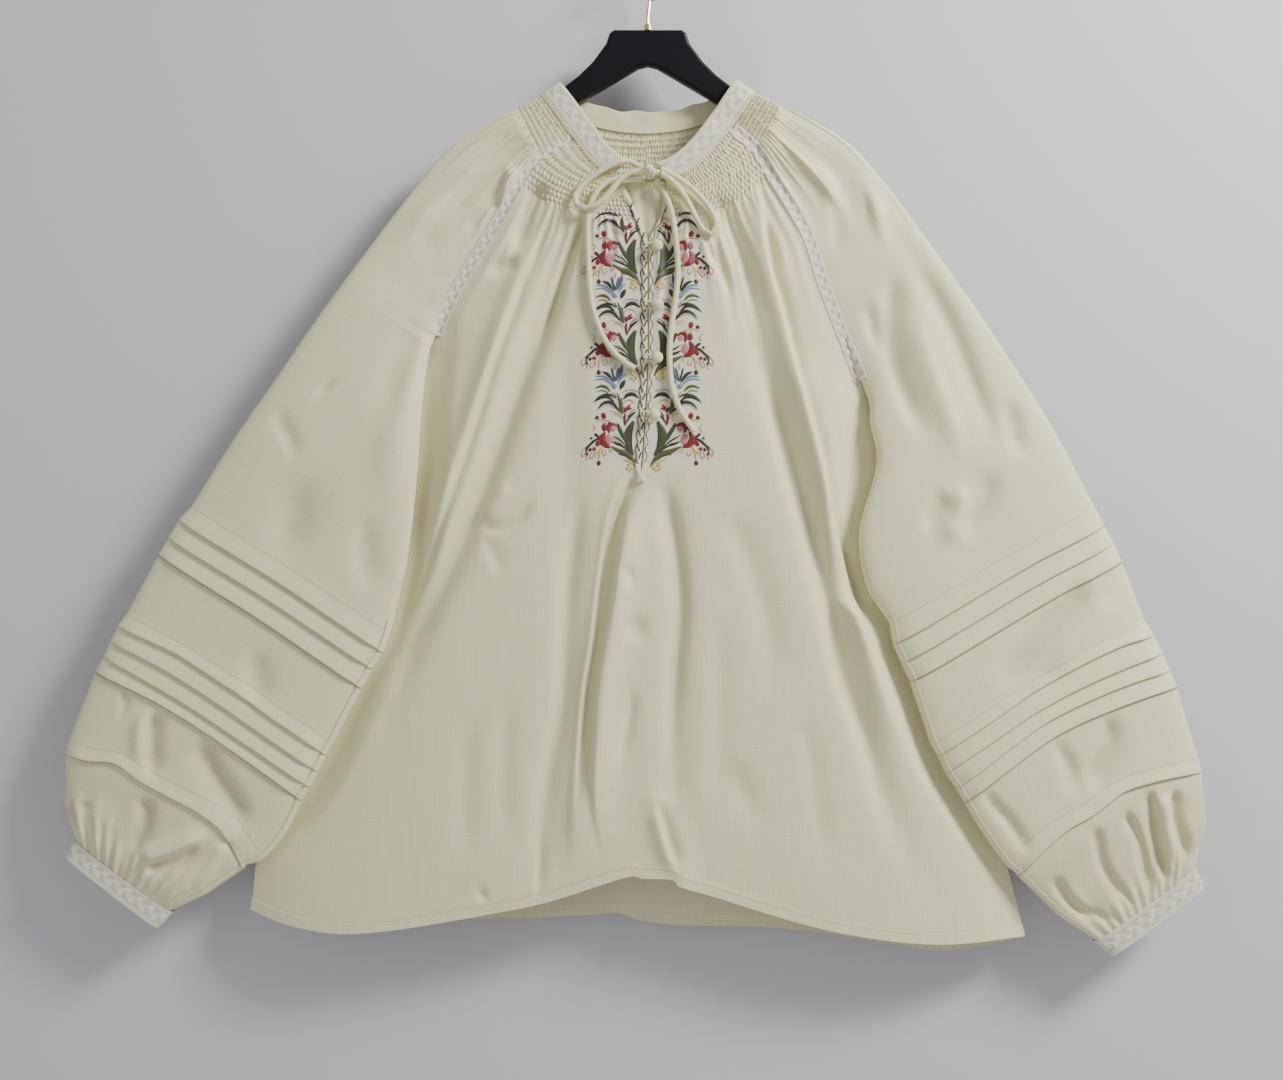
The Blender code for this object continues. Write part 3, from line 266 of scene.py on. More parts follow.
# How far the tucks ride up between the outer fold and the inner one: ring, then millimetres
WAVE_SHARES = (0, 0.15, 0.3, 0.45, 0.6, 0.75, 0.9, 1)
TUCK_WAVES = {
    -1: [(10, (0, 0, 0, 0, 0, 0, 0, 0)), (12.9, (0, 1, 2, 3, 3, 2, 1, 0)),
         (15.2, (0, 1, 2, 3, 3, 2, 1, 0)), (16.9, (0, 5, 10, 9, 8, 5, 3, 0)),
         (18, (0, 4, 7, 7, 6, 4, 2, 0)), (19, (0, 3, 5, 6, 5, 4, 2, 0)),
         (20.05, (0, 5, 9, 10, 9, 7, 4, 0)), (21, (0, 2, 11, 7, 10, 16, 18, 0)),
         (22.06, (0, 2, 12, 7, 10, 16, 19, 0)), (23.2, (0, 0, 0, 0, 0, 0, 0, 0))],
    1: [(10, (0, 0, 0, 0, 0, 0, 0, 0)), (12.9, (0, 1, 3, 3, 2, 1, 0, 0)),
        (15.2, (0, 1, 3, 3, 2, 1, 0, 0)), (16.9, (0, 9, 12, 13, 12, 7, 4, 0)),
        (18, (0, 6, 10, 12, 12, 8, 4, 0)), (19, (0, 8, 13, 16, 17, 12, 5, 0)),
        (20.05, (0, 7, 12, 16, 17, 12, 5, 0)), (21, (0, 2, 5, 9, 3, 7, 5, 0)),
        (22.06, (0, 2, 5, 9, 3, 7, 5, 0)), (23.2, (0, 0, 0, 0, 0, 0, 0, 0))],
}

# Fine grids: faces across each half of the front and back and round a sleeve
FRONT_FINE = 150
BACK_FINE = 110
SLEEVE_FINE = 320
CLOTH_THICK = 0.6
# Rows of the front and back, in the smocking and below it
FRONT_ROWS = (54, 150)
BACK_ROWS = (60, 110)

# Turned hem: its depth, its rise and the rows of the cloth near it, in millimetres
HEM_DEPTH = 9.5
HEM_RISE = 0.7
HEM_ROWS = (11.5, 10.6, 10.1, 9.8, 9.5, 9.2, 8.6, 7.0, 5.0, 3.0, 1.5, 0.5, 0.0)
HEM_STITCHED = (-236, 232)
STITCH_PITCH = 3.2
STITCH_LENGTH = 2.0

# Smocking, gathers and tucks
FRONT_PLEATS = 27
FRONT_GATHERS = 17
BACK_PLEATS = 34
BACK_GATHERS = 24
SLEEVE_PLEATS = 24
SLEEVE_GATHERS = 15
SLEEVE_GATHER_RISE = 3.3
CUFF_PLEATS = 13
SMOCK_ROWS = 10
SLEEVE_SMOCK_ROWS = 8
SMOCK_RISE = 2.0
SLEEVE_SMOCK_RISE = 2.0
CREASE_GAIN = 2.2
SMOCK_DEEP = 36.0
SLEEVE_RING_DEEP = 30.0
CUFF_RING_DEEP = 36.0
GATHER_RISE = 2.6
CUFF_RISE = 4.6
TUCK_RISE = 2.6

# Lace over the raglan seams: its width and the rings that it runs between
RAGLAN_LACE_WIDTH = 10.5
RAGLAN_LACE_RINGS = (0.15, 6.75)
# How far the front reaches over the sleeve at the armpit
ARMPIT_COVER = 5.0
# How far the side seams flare above the hem's corner, and where
SIDE_FLARE = {-1: 8.0, 1: 0.0}
FLARE_Z = -775.0
FLARE_REACH = 28.0

# Cloth seen in the neck's opening, behind the slit: x, z of its corners, and its pleats
UNDERLAP = ((-26.0, 19.0), (-198.0, -258.0))
UNDERLAP_PLEATS = 3

# Colours
LACE_COLOUR = (0.86, 0.82, 0.660)
# Painted shade: the colour of the lace's holes and low parts
LACE_HOLE_SHADE = (0.50, 0.46, 0.30)
CLOTH_COLOUR = (0.850, 0.800, 0.500)
CLOTH_SHADE = (0.790, 0.740, 0.445)
# Painted shade: the colour that the cloth takes on deep in its folds, pleats and smocking
CLOTH_FOLD_SHADE = (0.600, 0.560, 0.340)
INNER_LACE_COLOUR = (0.80, 0.78, 0.70)
INNER_LACE_SHADE = (0.76, 0.73, 0.63)
WOOD_COLOUR = (0.0045, 0.0045, 0.0070)
GOLD_COLOUR = (0.72, 0.55, 0.28)
PATCH_COLOUR = (0.740, 0.690, 0.610)
# Painted shade: thin dark lines under the tuck edges, along the hem's turned edge and along the
# underarm seam strip
SHADE_LINE_COLOUR = (0.300, 0.275, 0.165)

# Stage: wall, floor, camera, sky, and the lights (name, place, size, power, aim)
WALL_Y = 36.0
WALL_SIZE = (5.0, 2.4, 1.0)
WALL_MIDDLE_Z = -0.3
WALL_COLOUR = (0.66, 0.635, 0.66)
FLOOR_Z = -1.5
FLOOR_SIZE = 8.0
FLOOR_COLOUR = (0.62, 0.62, 0.65)
CAMERA_LENS = 38.0
CAMERA_PLACE = (-0.0055, -1.165, -0.5015)
SKY_COLOUR = (0.93, 0.95, 1.0)
SKY_STRENGTH = 0.40
LIGHTS = [
    ("key", (1.35, -0.95, 0.70), (0.55, 0.45), 56.0, (0.0, 0.0, -0.45)),
    ("fill", (-1.3, -1.3, -0.1), (0.9, 1.2), 3.0, (0.0, 0.0, -0.45)),
]

# Threads of the embroidery
THREADS = {
    "dark": (0.020, 0.026, 0.012),
    "olive": (0.085, 0.095, 0.028),
    "green": (0.048, 0.070, 0.018),
    "red": (0.200, 0.012, 0.014),
    "maroon": (0.095, 0.008, 0.012),
    "pink": (0.560, 0.220, 0.220),
    "yellow": (0.640, 0.500, 0.150),
    "peach": (0.640, 0.370, 0.180),
    "cream": (0.760, 0.720, 0.480),
    "lilac": (0.460, 0.350, 0.380),
    "blue": (0.150, 0.240, 0.360),
    "steel": (0.075, 0.105, 0.160),
    "black": (0.010, 0.010, 0.012),
    "seam": (0.560, 0.520, 0.330),
}
FULLNESS = {"leaf": 1.5, "stem": 1.6, "bud": 1.15}
MOTIF_TOP = -210.7
MOTIF_PITCH = 76.8
MOTIF_MIDDLE = -0.4
BORDER_PITCH = 12.4
REPEATS = 3
# The pale patch under the sprays
PATCH_TOP_Z = -219.0
PATCH_LOW_Z = -437.0
PATCH_HALF_WIDTH = 51.0
# The stitches beside the slit
TRIM_TOP_Z = -216.0
TRIM_LOW_Z = -441.0
TRIM_STEP = 1.5

# The spray, left of the slit: whether the lowest repeat leaves it out, thread, shape, width,
# and its line as x from the slit and z from the repeat's top
MOTIF = [
    (0, "dark", "leaf", 1.5,
     [(-45.9, -21.2), (-41.2, -16.5), (-35.1, -14.3), (-29.9, -14.7), (-26.4, -17.3)]),
    (0, "dark", "leaf", 2.1,
     [(-42.0, -26.0), (-37.7, -21.7), (-32.5, -20.4), (-28.2, -22.1), (-24.7, -26.0), (-21.2, -29.5)]),
    (0, "lilac", "stem", 0.5, [(-43.0, -28.0), (-38.0, -24.0), (-32.5, -22.8), (-27.0, -26.0)]),
    (0, "olive", "leaf", 2.6, [(-21.2, -17.0), (-21.8, -22.5), (-20.8, -26.9), (-19.9, -31.0)]),
    (0, "dark", "stem", 0.6, [(-28.0, -12.8), (-25.4, -17.3)]),
    (0, "dark", "stem", 0.5, [(-24.4, -13.6), (-23.6, -17.8)]),
    (0, "cream", "bud", 1.5, [(-25.6, -20.0), (-24.0, -20.9)]),
    (0, "yellow", "stem", 0.6, [(-31.6, -28.2), (-26.4, -29.0), (-21.2, -31.2), (-19.0, -32.5)]),
    (0, "yellow", "stem", 0.5, [(-29.0, -30.6), (-24.0, -31.4), (-20.6, -34.6)]),
    (0, "cream", "bud", 1.5, [(-21.2, -31.2), (-19.4, -32.4)]),
    (0, "red", "stem", 1.4, [(-17.3, -40.3), (-18.2, -34.7), (-17.7, -30.3)]),
    (0, "red", "bud", 1.9, [(-18.0, -30.0), (-16.2, -25.6), (-13.0, -22.4)]),
    (0, "red", "stem", 1.2, [(-16.6, -27.2), (-12.3, -25.3)]),
    (0, "red", "stem", 1.3, [(-17.8, -29.0), (-18.4, -24.8)]),
    (0, "maroon", "stem", 0.9, [(-19.2, -32.9), (-16.9, -40.6)]),
    (0, "pink", "stem", 0.5, [(-20.0, -22.6), (-18.0, -19.3), (-13.2, -18.8), (-9.6, -21.6)]),
    (0, "dark", "leaf", 1.5, [(-16.6, -38.6), (-14.3, -33.8), (-10.8, -30.3), (-7.8, -28.4)]),
    (0, "olive", "stem", 0.5, [(-15.3, -33.0), (-12.6, -28.6), (-8.9, -26.4)]),
    (0, "green", "leaf", 5.2,
     [(-8.6, -65.4), (-12.9, -59.8), (-14.9, -52.9), (-14.1, -45.1), (-10.3, -36.6)]),
    (0, "dark", "leaf", 1.3,
     [(-8.4, -65.4), (-10.6, -59.8), (-11.5, -52.9), (-11.2, -45.1), (-9.3, -37.0)]),
    (0, "olive", "leaf", 1.3, [(-12.6, -58.8), (-14.9, -51.9), (-14.0, -44.1)]),
    (0, "green", "leaf", 2.7, [(-9.9, -64.6), (-15.4, -55.5), (-19.3, -48.6), (-23.9, -38.6)]),
    (0, "dark", "leaf", 1.0, [(-11.7, -62.6), (-17.9, -52.9), (-23.0, -44.2), (-25.0, -38.0)]),
    (0, "dark", "leaf", 1.3, [(-10.8, -63.9), (-17.7, -56.5), (-22.9, -52.2), (-28.4, -49.0)]),
    (0, "cream", "leaf", 0.8, [(-14.3, -59.4), (-20.6, -51.4), (-27.6, -45.8)]),
    (0, "cream", "leaf", 0.7, [(-15.3, -60.2), (-21.6, -54.4), (-28.6, -50.8)]),
    (0, "dark", "leaf", 1.6, [(-14.3, -61.3), (-19.5, -57.4), (-24.7, -55.6), (-28.8, -53.6)]),
    (0, "olive", "leaf", 3.3,
     [(-6.3, -75.0), (-9.9, -68.5), (-15.1, -64.4), (-22.1, -61.9), (-29.8, -58.0)]),
    (0, "dark", "leaf", 1.0, [(-6.1, -75.2), (-10.2, -69.9), (-15.6, -66.1), (-22.8, -64.7)]),
    (0, "red", "bud", 3.8, [(-37.8, -29.4), (-35.9, -34.8)]),
    (0, "maroon", "bud", 2.4, [(-43.9, -32.4), (-41.2, -34.8)]),
    (0, "maroon", "stem", 0.9, [(-44.2, -35.0), (-41.2, -32.4)]),
    (0, "peach", "stem", 0.7, [(-41.6, -35.7), (-36.8, -35.3), (-31.6, -36.8), (-26.9, -39.4)]),
    (0, "peach", "stem", 0.5, [(-38.6, -37.0), (-34.4, -38.6), (-32.6, -41.0)]),
    (0, "yellow", "stem", 0.5, [(-43.0, -37.0), (-40.4, -35.4)]),
    (0, "red", "bud", 4.2, [(-36.6, -38.7), (-35.9, -45.4)]),
    (0, "pink", "bud", 5.0, [(-28.2, -40.2), (-28.2, -45.4)]),
    (0, "red", "leaf", 2.8, [(-31.6, -46.8), (-32.6, -42.0), (-30.2, -38.9), (-24.3, -41.0)]),
    (0, "pink", "bud", 6.0, [(-32.3, -47.6), (-31.6, -56.6)]),
    (0, "red", "leaf", 4.4, [(-35.6, -46.0), (-38.3, -51.2), (-36.0, -55.9), (-30.6, -58.9)]),
    (0, "maroon", "stem", 0.7, [(-36.4, -48.4), (-37.6, -51.6), (-35.6, -55.0)]),
    (0, "dark", "stem", 1.5, [(-44.8, -47.1), (-40.3, -50.9)]),
    (0, "dark", "leaf", 1.6, [(-39.2, -51.0), (-44.6, -52.9), (-48.5, -56.4), (-53.5, -60.0)]),
    (0, "dark", "leaf", 1.2, [(-47.5, -55.3), (-51.1, -59.8), (-52.2, -64.2)]),
    (0, "red", "bud", 3.6, [(-41.3, -53.0), (-42.7, -58.0)]),
    (0, "red", "bud", 2.6, [(-44.8, -58.4), (-45.6, -61.6)]),
    (0, "maroon", "bud", 2.4, [(-48.0, -59.2), (-49.0, -62.4)]),
    (0, "maroon", "bud", 2.0, [(-50.6, -63.4), (-51.6, -66.0)]),
    (0, "red", "bud", 2.0, [(-46.4, -50.4), (-48.6, -51.6)]),
    (0, "pink", "stem", 0.5, [(-53.5, -60.0), (-55.8, -63.0), (-54.6, -66.6), (-52.6, -63.6)]),
    (0, "pink", "stem", 0.5, [(-46.0, -62.0), (-48.6, -65.6), (-47.0, -68.4), (-45.2, -65.0)]),
    (0, "pink", "stem", 0.5, [(-42.6, -59.0), (-45.0, -64.0), (-43.6, -67.0)]),
    (0, "yellow", "stem", 1.2, [(-37.1, -57.7), (-39.9, -61.0), (-41.2, -69.0)]),
    (0, "yellow", "stem", 0.7, [(-40.1, -60.7), (-43.9, -64.8)]),
    (0, "peach", "stem", 0.6, [(-38.4, -60.7), (-36.4, -66.2)]),
    (0, "maroon", "bud", 3.2, [(-40.9, -69.9), (-41.5, -74.3)]),
    (0, "yellow", "stem", 0.6, [(-30.8, -59.0), (-30.3, -63.6)]),
    (0, "yellow", "stem", 0.5, [(-29.4, -59.8), (-27.8, -62.8)]),
    (0, "lilac", "stem", 0.5, [(-36.0, -60.4), (-34.0, -63.2), (-35.4, -66.0), (-37.2, -63.4)]),
    (0, "lilac", "stem", 0.5, [(-52.8, -64.4), (-50.6, -67.4), (-52.6, -69.8)]),
    (0, "pink", "stem", 0.5, [(-46.2, -39.6), (-44.2, -43.0), (-46.4, -45.4)]),
    (1, "blue", "leaf", 1.1, [(-44.8, -78.7), (-37.7, -77.6), (-32.5, -80.4), (-28.4, -84.7)]),
    (1, "blue", "leaf", 1.3, [(-43.7, -75.7), (-37.7, -75.2), (-32.1, -78.0), (-28.0, -82.6)]),
    (1, "dark", "leaf", 1.9, [(-38.2, -71.6), (-32.9, -74.1), (-28.0, -80.6)]),
    (1, "dark", "stem", 1.0, [(-30.4, -68.3), (-29.0, -73.7), (-27.3, -79.7)]),
    (1, "steel", "stem", 1.2, [(-24.0, -68.1), (-25.6, -73.7), (-26.9, -79.7)]),
    (1, "steel", "leaf", 2.2, [(-21.4, -65.7), (-22.4, -72.0), (-25.7, -79.3)]),
    (1, "blue", "leaf", 1.3, [(-18.8, -73.5), (-22.1, -77.2), (-24.9, -82.1)]),
    (1, "lilac", "stem", 0.6, [(-26.7, -64.2), (-27.3, -69.8)]),
    (1, "blue", "bud", 4.0, [(-29.8, -83.4), (-25.4, -84.6)]),
    (1, "cream", "bud", 1.6, [(-28.4, -83.4), (-26.6, -84.6)]),
    (1, "dark", "leaf", 2.7, [(-22.7, -86.4), (-20.8, -82.4), (-18.4, -78.7)]),
    (0, "yellow", "leaf", 1.5, [(-6.5, -75.0), (-10.8, -70.9), (-17.9, -69.2)]),
    (0, "yellow", "bud", 3.2, [(-14.0, -72.4), (-10.6, -74.4)]),
    (0, "yellow", "bud", 2.6, [(-14.8, -75.6), (-12.0, -78.0)]),
    (0, "yellow", "bud", 2.8, [(-10.6, -75.6), (-7.6, -77.2)]),
    (0, "yellow", "bud", 2.0, [(-11.6, -78.0), (-10.2, -79.6)]),
    (1, "lilac", "stem", 0.8, [(-21.4, -89.9), (-16.0, -86.9), (-9.9, -87.2), (-7.2, -88.6)]),
    (1, "lilac", "stem", 0.5, [(-18.4, -90.6), (-14.0, -88.8), (-9.4, -89.4)]),
    (1, "olive", "leaf", 1.8, [(-44.4, -85.6), (-39.0, -83.7), (-34.2, -85.0), (-31.0, -88.6)]),
    (1, "olive", "leaf", 0.7, [(-42.5, -88.2), (-36.8, -87.6), (-31.4, -91.2)]),
    (1, "dark", "leaf", 2.0, [(-43.5, -96.4), (-38.6, -93.1), (-32.5, -93.2), (-27.5, -97.3)]),
    (1, "dark", "leaf", 2.5, [(-19.8, -94.7), (-15.6, -91.0), (-10.8, -90.6), (-6.5, -93.8)]),
    (1, "olive", "leaf", 2.3, [(-25.4, -89.6), (-22.9, -96.2), (-20.8, -103.2), (-19.9, -107.4)]),
    (1, "cream", "bud", 1.5, [(-30.0, -88.7), (-28.4, -89.9)]),
    (1, "cream", "bud", 1.8, [(-27.0, -90.6), (-25.6, -92.4)]),
    (1, "cream", "bud", 1.3, [(-25.8, -93.2), (-24.8, -94.2)]),
    (1, "cream", "bud", 1.3, [(-26.2, -98.7), (-25.0, -99.7)]),
]

# Creases of the front: height towards the viewer, width to the left, width to the right, the
# lengths over which it fades in and out, and the line as x, z
FRONT_CREASES = [
    # The fold line on the left, from the smocking to the hem
    (-1.8, 2.5, 5, 20, 60, [(-75, -208), (-84, -229), (-91, -247), (-99, -270), (-106, -281),
                            (-111, -298), (-130, -353), (-148, -411), (-173, -482),
                            (-192, -537), (-207, -574)]),
    (2.2, 9, 4, 40, 90, [(-92, -240), (-118, -300), (-137, -353), (-156, -411), (-181, -482),
                         (-200, -540)]),
    # The deep trough under the left loop
    (-2.8, 3, 4, 15, 40, [(-52, -222), (-61, -246), (-67, -260), (-75, -283), (-84, -310),
                          (-96, -345)]),
    (-2.2, 8, 9, 60, 120, [(-74, -281), (-98, -345), (-128, -425), (-152, -487), (-171, -529),
                           (-197, -586), (-222, -650)]),
    # Short folds at the left armhole
    (-3.0, 5, 9, 12, 20, [(-84, -201), (-94, -206), (-99, -213), (-107, -235), (-112, -250),
                          (-118, -258)]),
    (-2.2, 4, 6, 8, 10, [(-109, -263), (-123, -268), (-136, -273)]),
    # A bent crease on the left breast
    (-1.6, 3, 5, 10, 10, [(-143, -490), (-118, -491), (-94, -469)]),
    (1.2, 5, 7, 10, 12, [(-117, -452), (-143, -484)]),
    (-0.9, 4, 9, 8, 20, [(-140, -498), (-121, -535)]),
    # The soft vertical trough left of the middle
    (-2.0, 7, 9, 60, 80, [(-56, -459), (-67, -529), (-70, -586), (-73, -642), (-84, -698),
                          (-92, -755), (-95, -800)]),
    (-1.2, 2, 6, 30, 8, [(-91, -743), (-94, -806)]),
    # The pleat below the slit: its groove, its right edge and the marks beside it
    (-2.6, 2.0, 8, 4, 60, [(-8, -446), (-15, -452), (-22, -470), (-30, -500), (-36, -530)]),
    (-4.2, 2.2, 9, 14, 90, [(-16, -448), (-30, -481), (-39, -535), (-45, -586), (-52, -631),
                            (-56, -679), (-60, -727), (-63, -749)]),
    (2.4, 2.5, 15, 12, 40, [(-15, -450), (-19, -487), (-24, -521), (-28, -552), (-36, -591),
                            (-42, -631), (-44, -670), (-45, -712), (-41, -749), (-30, -783)]),
    (-1.6, 4, 6, 20, 25, [(-13, -625), (-17, -659), (-27, -695)]),
    (-1.6, 8, 9, 10, 14, [(-17, -566), (-8, -578), (2, -584)]),
    (-1.4, 5, 5, 10, 12, [(-19, -520), (-15, -534), (-9, -541)]),
    # The trough and the small crease right of the middle
    (-2.3, 8, 6, 20, 120, [(12, -447), (23, -501), (29, -557), (24, -614), (20, -670),
                           (20, -727)]),
    (-2.2, 2, 7, 14, 12, [(9, -722), (17, -752), (27, -781)]),
    (1.5, 9, 3, 14, 14, [(4, -724), (12, -754), (21, -783)]),
    # Soft folds on the right breast
    (-1.4, 12, 14, 40, 50, [(62, -470), (85, -515), (105, -586), (99, -640)]),
    (-1.2, 12, 10, 30, 40, [(66, -680), (80, -712), (99, -748)]),
    # The trough on the right
    (-2.6, 6, 9, 14, 60, [(56, -208), (61, -218), (69, -235), (78, -256), (86, -281),
                          (97, -330)]),
    (-2.2, 7, 8, 60, 100, [(97, -340), (119, -430), (136, -487), (153, -557), (164, -614),
                           (184, -670), (198, -727), (212, -769)]),
    (-1.8, 3, 6, 10, 30, [(53, -250), (56, -263), (65, -280), (73, -305)]),
    # The fold edge on the right, from the smocking to the hem
    (2.6, 11, 2, 20, 80, [(90, -180), (91, -192), (95, -220), (98, -243), (102, -270),
                          (110, -298), (121, -343), (135, -394), (148, -445), (157, -491),
                          (168, -529), (185, -586), (204, -642), (214, -668)]),
    (-2.0, 1.5, 6, 20, 80, [(94, -182), (95, -194), (99, -221), (102, -244), (106, -271),
                            (115, -299), (126, -344), (140, -395), (153, -446), (162, -492),
                            (173, -530), (190, -587), (209, -643)]),
    # Creases at the hem
    (-1.4, 3, 4, 8, 8, [(-146, -794), (-135, -808)]),
    (-0.9, 10, 10, 50, 40, [(-150, -640), (-155, -720), (-152, -780)]),
    (-0.9, 8, 10, 50, 40, [(-118, -620), (-122, -700), (-120, -770)]),
    (-0.8, 10, 10, 50, 40, [(60, -560), (62, -650), (58, -740)]),
    (-0.9, 9, 10, 40, 40, [(128, -640), (140, -700), (150, -780)]),
]
# Creases of the sleeves, in front
SLEEVE_CREASES = {-1: [
    (-4.6, 12, 6, 24, 40, [(-101, -161), (-112, -172), (-126, -178), (-143, -195),
                           (-154, -206), (-164, -217), (-177, -226), (-190, -236)]),
    (2.6, 8, 9, 30, 60, [(-126, -170), (-150, -190), (-172, -212), (-200, -232),
                         (-222, -250)]),
    (-2.6, 9, 3, 8, 12, [(-127, -184), (-125, -192), (-129, -206), (-133, -222)]),
    (2.0, 3, 9, 8, 12, [(-119, -184), (-118, -194), (-121, -206), (-126, -220)]),
    (-2.6, 7, 7, 8, 8, [(-156, -232), (-143, -235)]),
    (-3.2, 11, 12, 14, 14, [(-200, -240), (-186, -248), (-180, -258)]),
    (-2.0, 14, 12, 30, 50, [(-190, -309), (-212, -361), (-227, -414)]),
    (1.8, 16, 14, 40, 60, [(-166, -280), (-200, -350), (-214, -420), (-220, -480)]),
    (-1.6, 10, 9, 8, 10, [(-277, -368), (-268, -378)]),
    (-1.5, 4, 8, 14, 14, [(-320, -392), (-308, -410), (-297, -434)]),
    (-2.4, 16, 20, 40, 30, [(-286, -440), (-300, -480), (-302, -505), (-296, -522)]),
    (-1.8, 10, 14, 30, 30, [(-234, -475), (-239, -513), (-229, -550)]),
    (-1.0, 3, 4, 6, 6, [(-427, -543), (-408, -535)]),
    (-1.8, 10, 12, 20, 20, [(-339, -590), (-329, -620), (-329, -645)]),
    (-1.3, 3, 4, 8, 8, [(-445, -628), (-443, -652)]),
    (-3.0, 4, 9, 12, 14, [(-415, -646), (-421, -662), (-421, -687), (-419, -705)]),
    (2.0, 8, 4, 12, 14, [(-425, -646), (-429, -665), (-428, -690)]),
    (-3.4, 10, 8, 20, 24, [(-379, -668), (-369, -695), (-349, -725), (-339, -750)]),
    (-3.0, 6, 8, 10, 10, [(-426, -718), (-428, -745), (-440, -768)]),
    (3.0, 4, 9, 8, 14, [(-430, -773), (-399, -762), (-369, -749)]),
    (-2.2, 5, 4, 8, 10, [(-426, -780), (-399, -774), (-379, -760)]),
    (1.8, 8, 3, 10, 10, [(-357, -757), (-369, -782), (-382, -800)]),
    (-1.8, 3, 3, 8, 10, [(-492, -722), (-489, -748)]),
    (-1.2, 4, 5, 8, 8, [(-480, -722), (-476, -735)]),
    (-1.6, 2, 3, 6, 8, [(-356, -755), (-349, -770), (-339, -785)]),
], 1: [
    (-4.2, 7, 12, 16, 40, [(106, -142), (120, -158), (131, -168), (148, -178), (162, -192),
                           (170, -207), (177, -228), (181, -242)]),
    (2.4, 9, 8, 20, 60, [(112, -158), (128, -176), (146, -188), (158, -206), (166, -228),
                         (170, -248)]),
    (-2.2, 4, 5, 6, 10, [(112, -134), (120, -137), (128, -142)]),
    (-3.0, 5, 8, 20, 30, [(158, -206), (160, -222), (161, -240), (161, -268)]),
    (2.0, 7, 8, 30, 40, [(182, -190), (190, -210), (198, -232), (210, -258)]),
    (-2.0, 8, 9, 20, 30, [(194, -184), (213, -215), (227, -244)]),
    (-2.4, 9, 9, 20, 40, [(201, -215), (212, -240), (227, -262), (257, -318), (281, -382),
                          (298, -434)]),
    (-2.2, 8, 10, 30, 40, [(210, -265), (207, -320), (209, -350), (220, -382), (240, -424)]),
    (2.0, 12, 9, 40, 50, [(226, -300), (236, -345), (252, -390), (268, -440)]),
    (-1.6, 6, 7, 10, 14, [(188, -300), (195, -340)]),
    (-1.8, 8, 9, 20, 20, [(306, -380), (315, -434)]),
    (1.8, 9, 8, 10, 20, [(265, -455), (262, -484), (244, -505)]),
    (-1.8, 8, 8, 10, 20, [(252, -462), (231, -497)]),
    (-2.0, 10, 10, 20, 20, [(290, -440), (284, -470), (262, -500)]),
    (-2.4, 12, 14, 24, 24, [(379, -537), (351, -565), (314, -607), (288, -628)]),
    (1.6, 10, 14, 24, 24, [(392, -546), (368, -576), (335, -614)]),
    (-2.8, 6, 10, 14, 16, [(390, -650), (390, -672), (379, -698), (373, -716)]),
    (-1.8, 6, 7, 12, 12, [(343, -672), (358, -697), (352, -716)]),
    (-1.8, 6, 6, 12, 12, [(283, -716), (309, -744), (322, -770)]),
    (-3.2, 3, 6, 12, 8, [(447, -712), (447, -737), (457, -765), (460, -780)]),
    (-3.4, 7, 3, 12, 8, [(426, -712), (431, -750), (437, -776), (447, -795)]),
    (2.2, 6, 6, 12, 8, [(436, -716), (440, -748), (447, -778)]),
    (-2.6, 5, 4, 12, 8, [(403, -730), (416, -755), (424, -784), (430, -806)]),
    (-2.4, 5, 5, 12, 8, [(379, -742), (385, -776), (403, -802), (418, -814)]),
    (-2.2, 5, 5, 10, 8, [(343, -786), (358, -810), (379, -820), (402, -826)]),
]}
# Creases of the sleeves, behind
SLEEVE_BACK_CREASES = {-1: [
    (-3.0, 10, 8, 20, 40, [(-110, -150), (-140, -180), (-165, -220), (-185, -250)]),
    (-2.2, 12, 12, 30, 50, [(-200, -290), (-235, -370), (-262, -440)]),
    (-2.0, 14, 12, 30, 40, [(-300, -400), (-310, -460), (-300, -520)]),
    (-2.0, 12, 12, 20, 20, [(-350, -580), (-335, -640)]),
    (-2.2, 8, 10, 14, 20, [(-420, -640), (-425, -700)]),
    (-2.6, 8, 8, 14, 20, [(-385, -670), (-360, -740)]),
], 1: [
    (-3.0, 8, 10, 20, 40, [(108, -145), (138, -175), (166, -215), (184, -246)]),
    (-2.2, 12, 12, 30, 50, [(196, -285), (232, -365), (258, -440)]),
    (-2.0, 12, 14, 30, 40, [(292, -395), (302, -455), (290, -520)]),
    (-2.0, 12, 12, 20, 20, [(345, -560), (315, -630)]),
    (-2.2, 10, 8, 14, 20, [(395, -650), (385, -705)]),
    (-2.6, 8, 8, 14, 20, [(355, -680), (330, -750)]),
]}
# Creases of the back, away from the body, and its small pleat at the hem
BACK_CREASES = [
    (-2.4, 6, 8, 40, 80, [(-70, -200), (-100, -330), (-130, -480), (-170, -640)]),
    (2.0, 8, 6, 40, 90, [(-30, -210), (-45, -380), (-60, -560), (-75, -740)]),
    (-2.2, 7, 7, 40, 90, [(8, -215), (14, -400), (20, -600), (24, -760)]),
    (2.0, 8, 8, 40, 90, [(50, -205), (78, -370), (108, -560), (140, -760)]),
    (-2.4, 8, 6, 40, 80, [(84, -200), (118, -350), (152, -500), (196, -680)]),
    (-1.6, 8, 8, 40, 60, [(-120, -420), (-150, -560), (-200, -720)]),
    (-2.0, 2, 6, 40, 6, [(-20, -640), (-22, -740), (-18, -818)]),
]


def between(a, b, c, d, t):
    """The value at t between b and c on a Catmull-Rom curve through four points."""
    cubic = (3 * b - a - 3 * c + d) * t ** 3
    return 0.5 * (2 * b + (c - a) * t + (2 * a - 5 * b + 4 * c - d) * t * t + cubic)


def smooth_path(points, steps=8):
    """Points along a Catmull-Rom curve through the given points."""
    given = np.array(points, float)
    ends = np.vstack([2 * given[0] - given[1], given, 2 * given[-1] - given[-2]])
    found = [between(*ends[i:i + 4], k / steps) for i in range(len(given) - 1) for k in range(steps)]
    return np.array(found + [given[-1]])


def travel_of(path):
    """How far along a line each of its points lies."""
    return np.concatenate([[0.0], np.cumsum(np.linalg.norm(np.diff(path, axis=0), axis=1))])


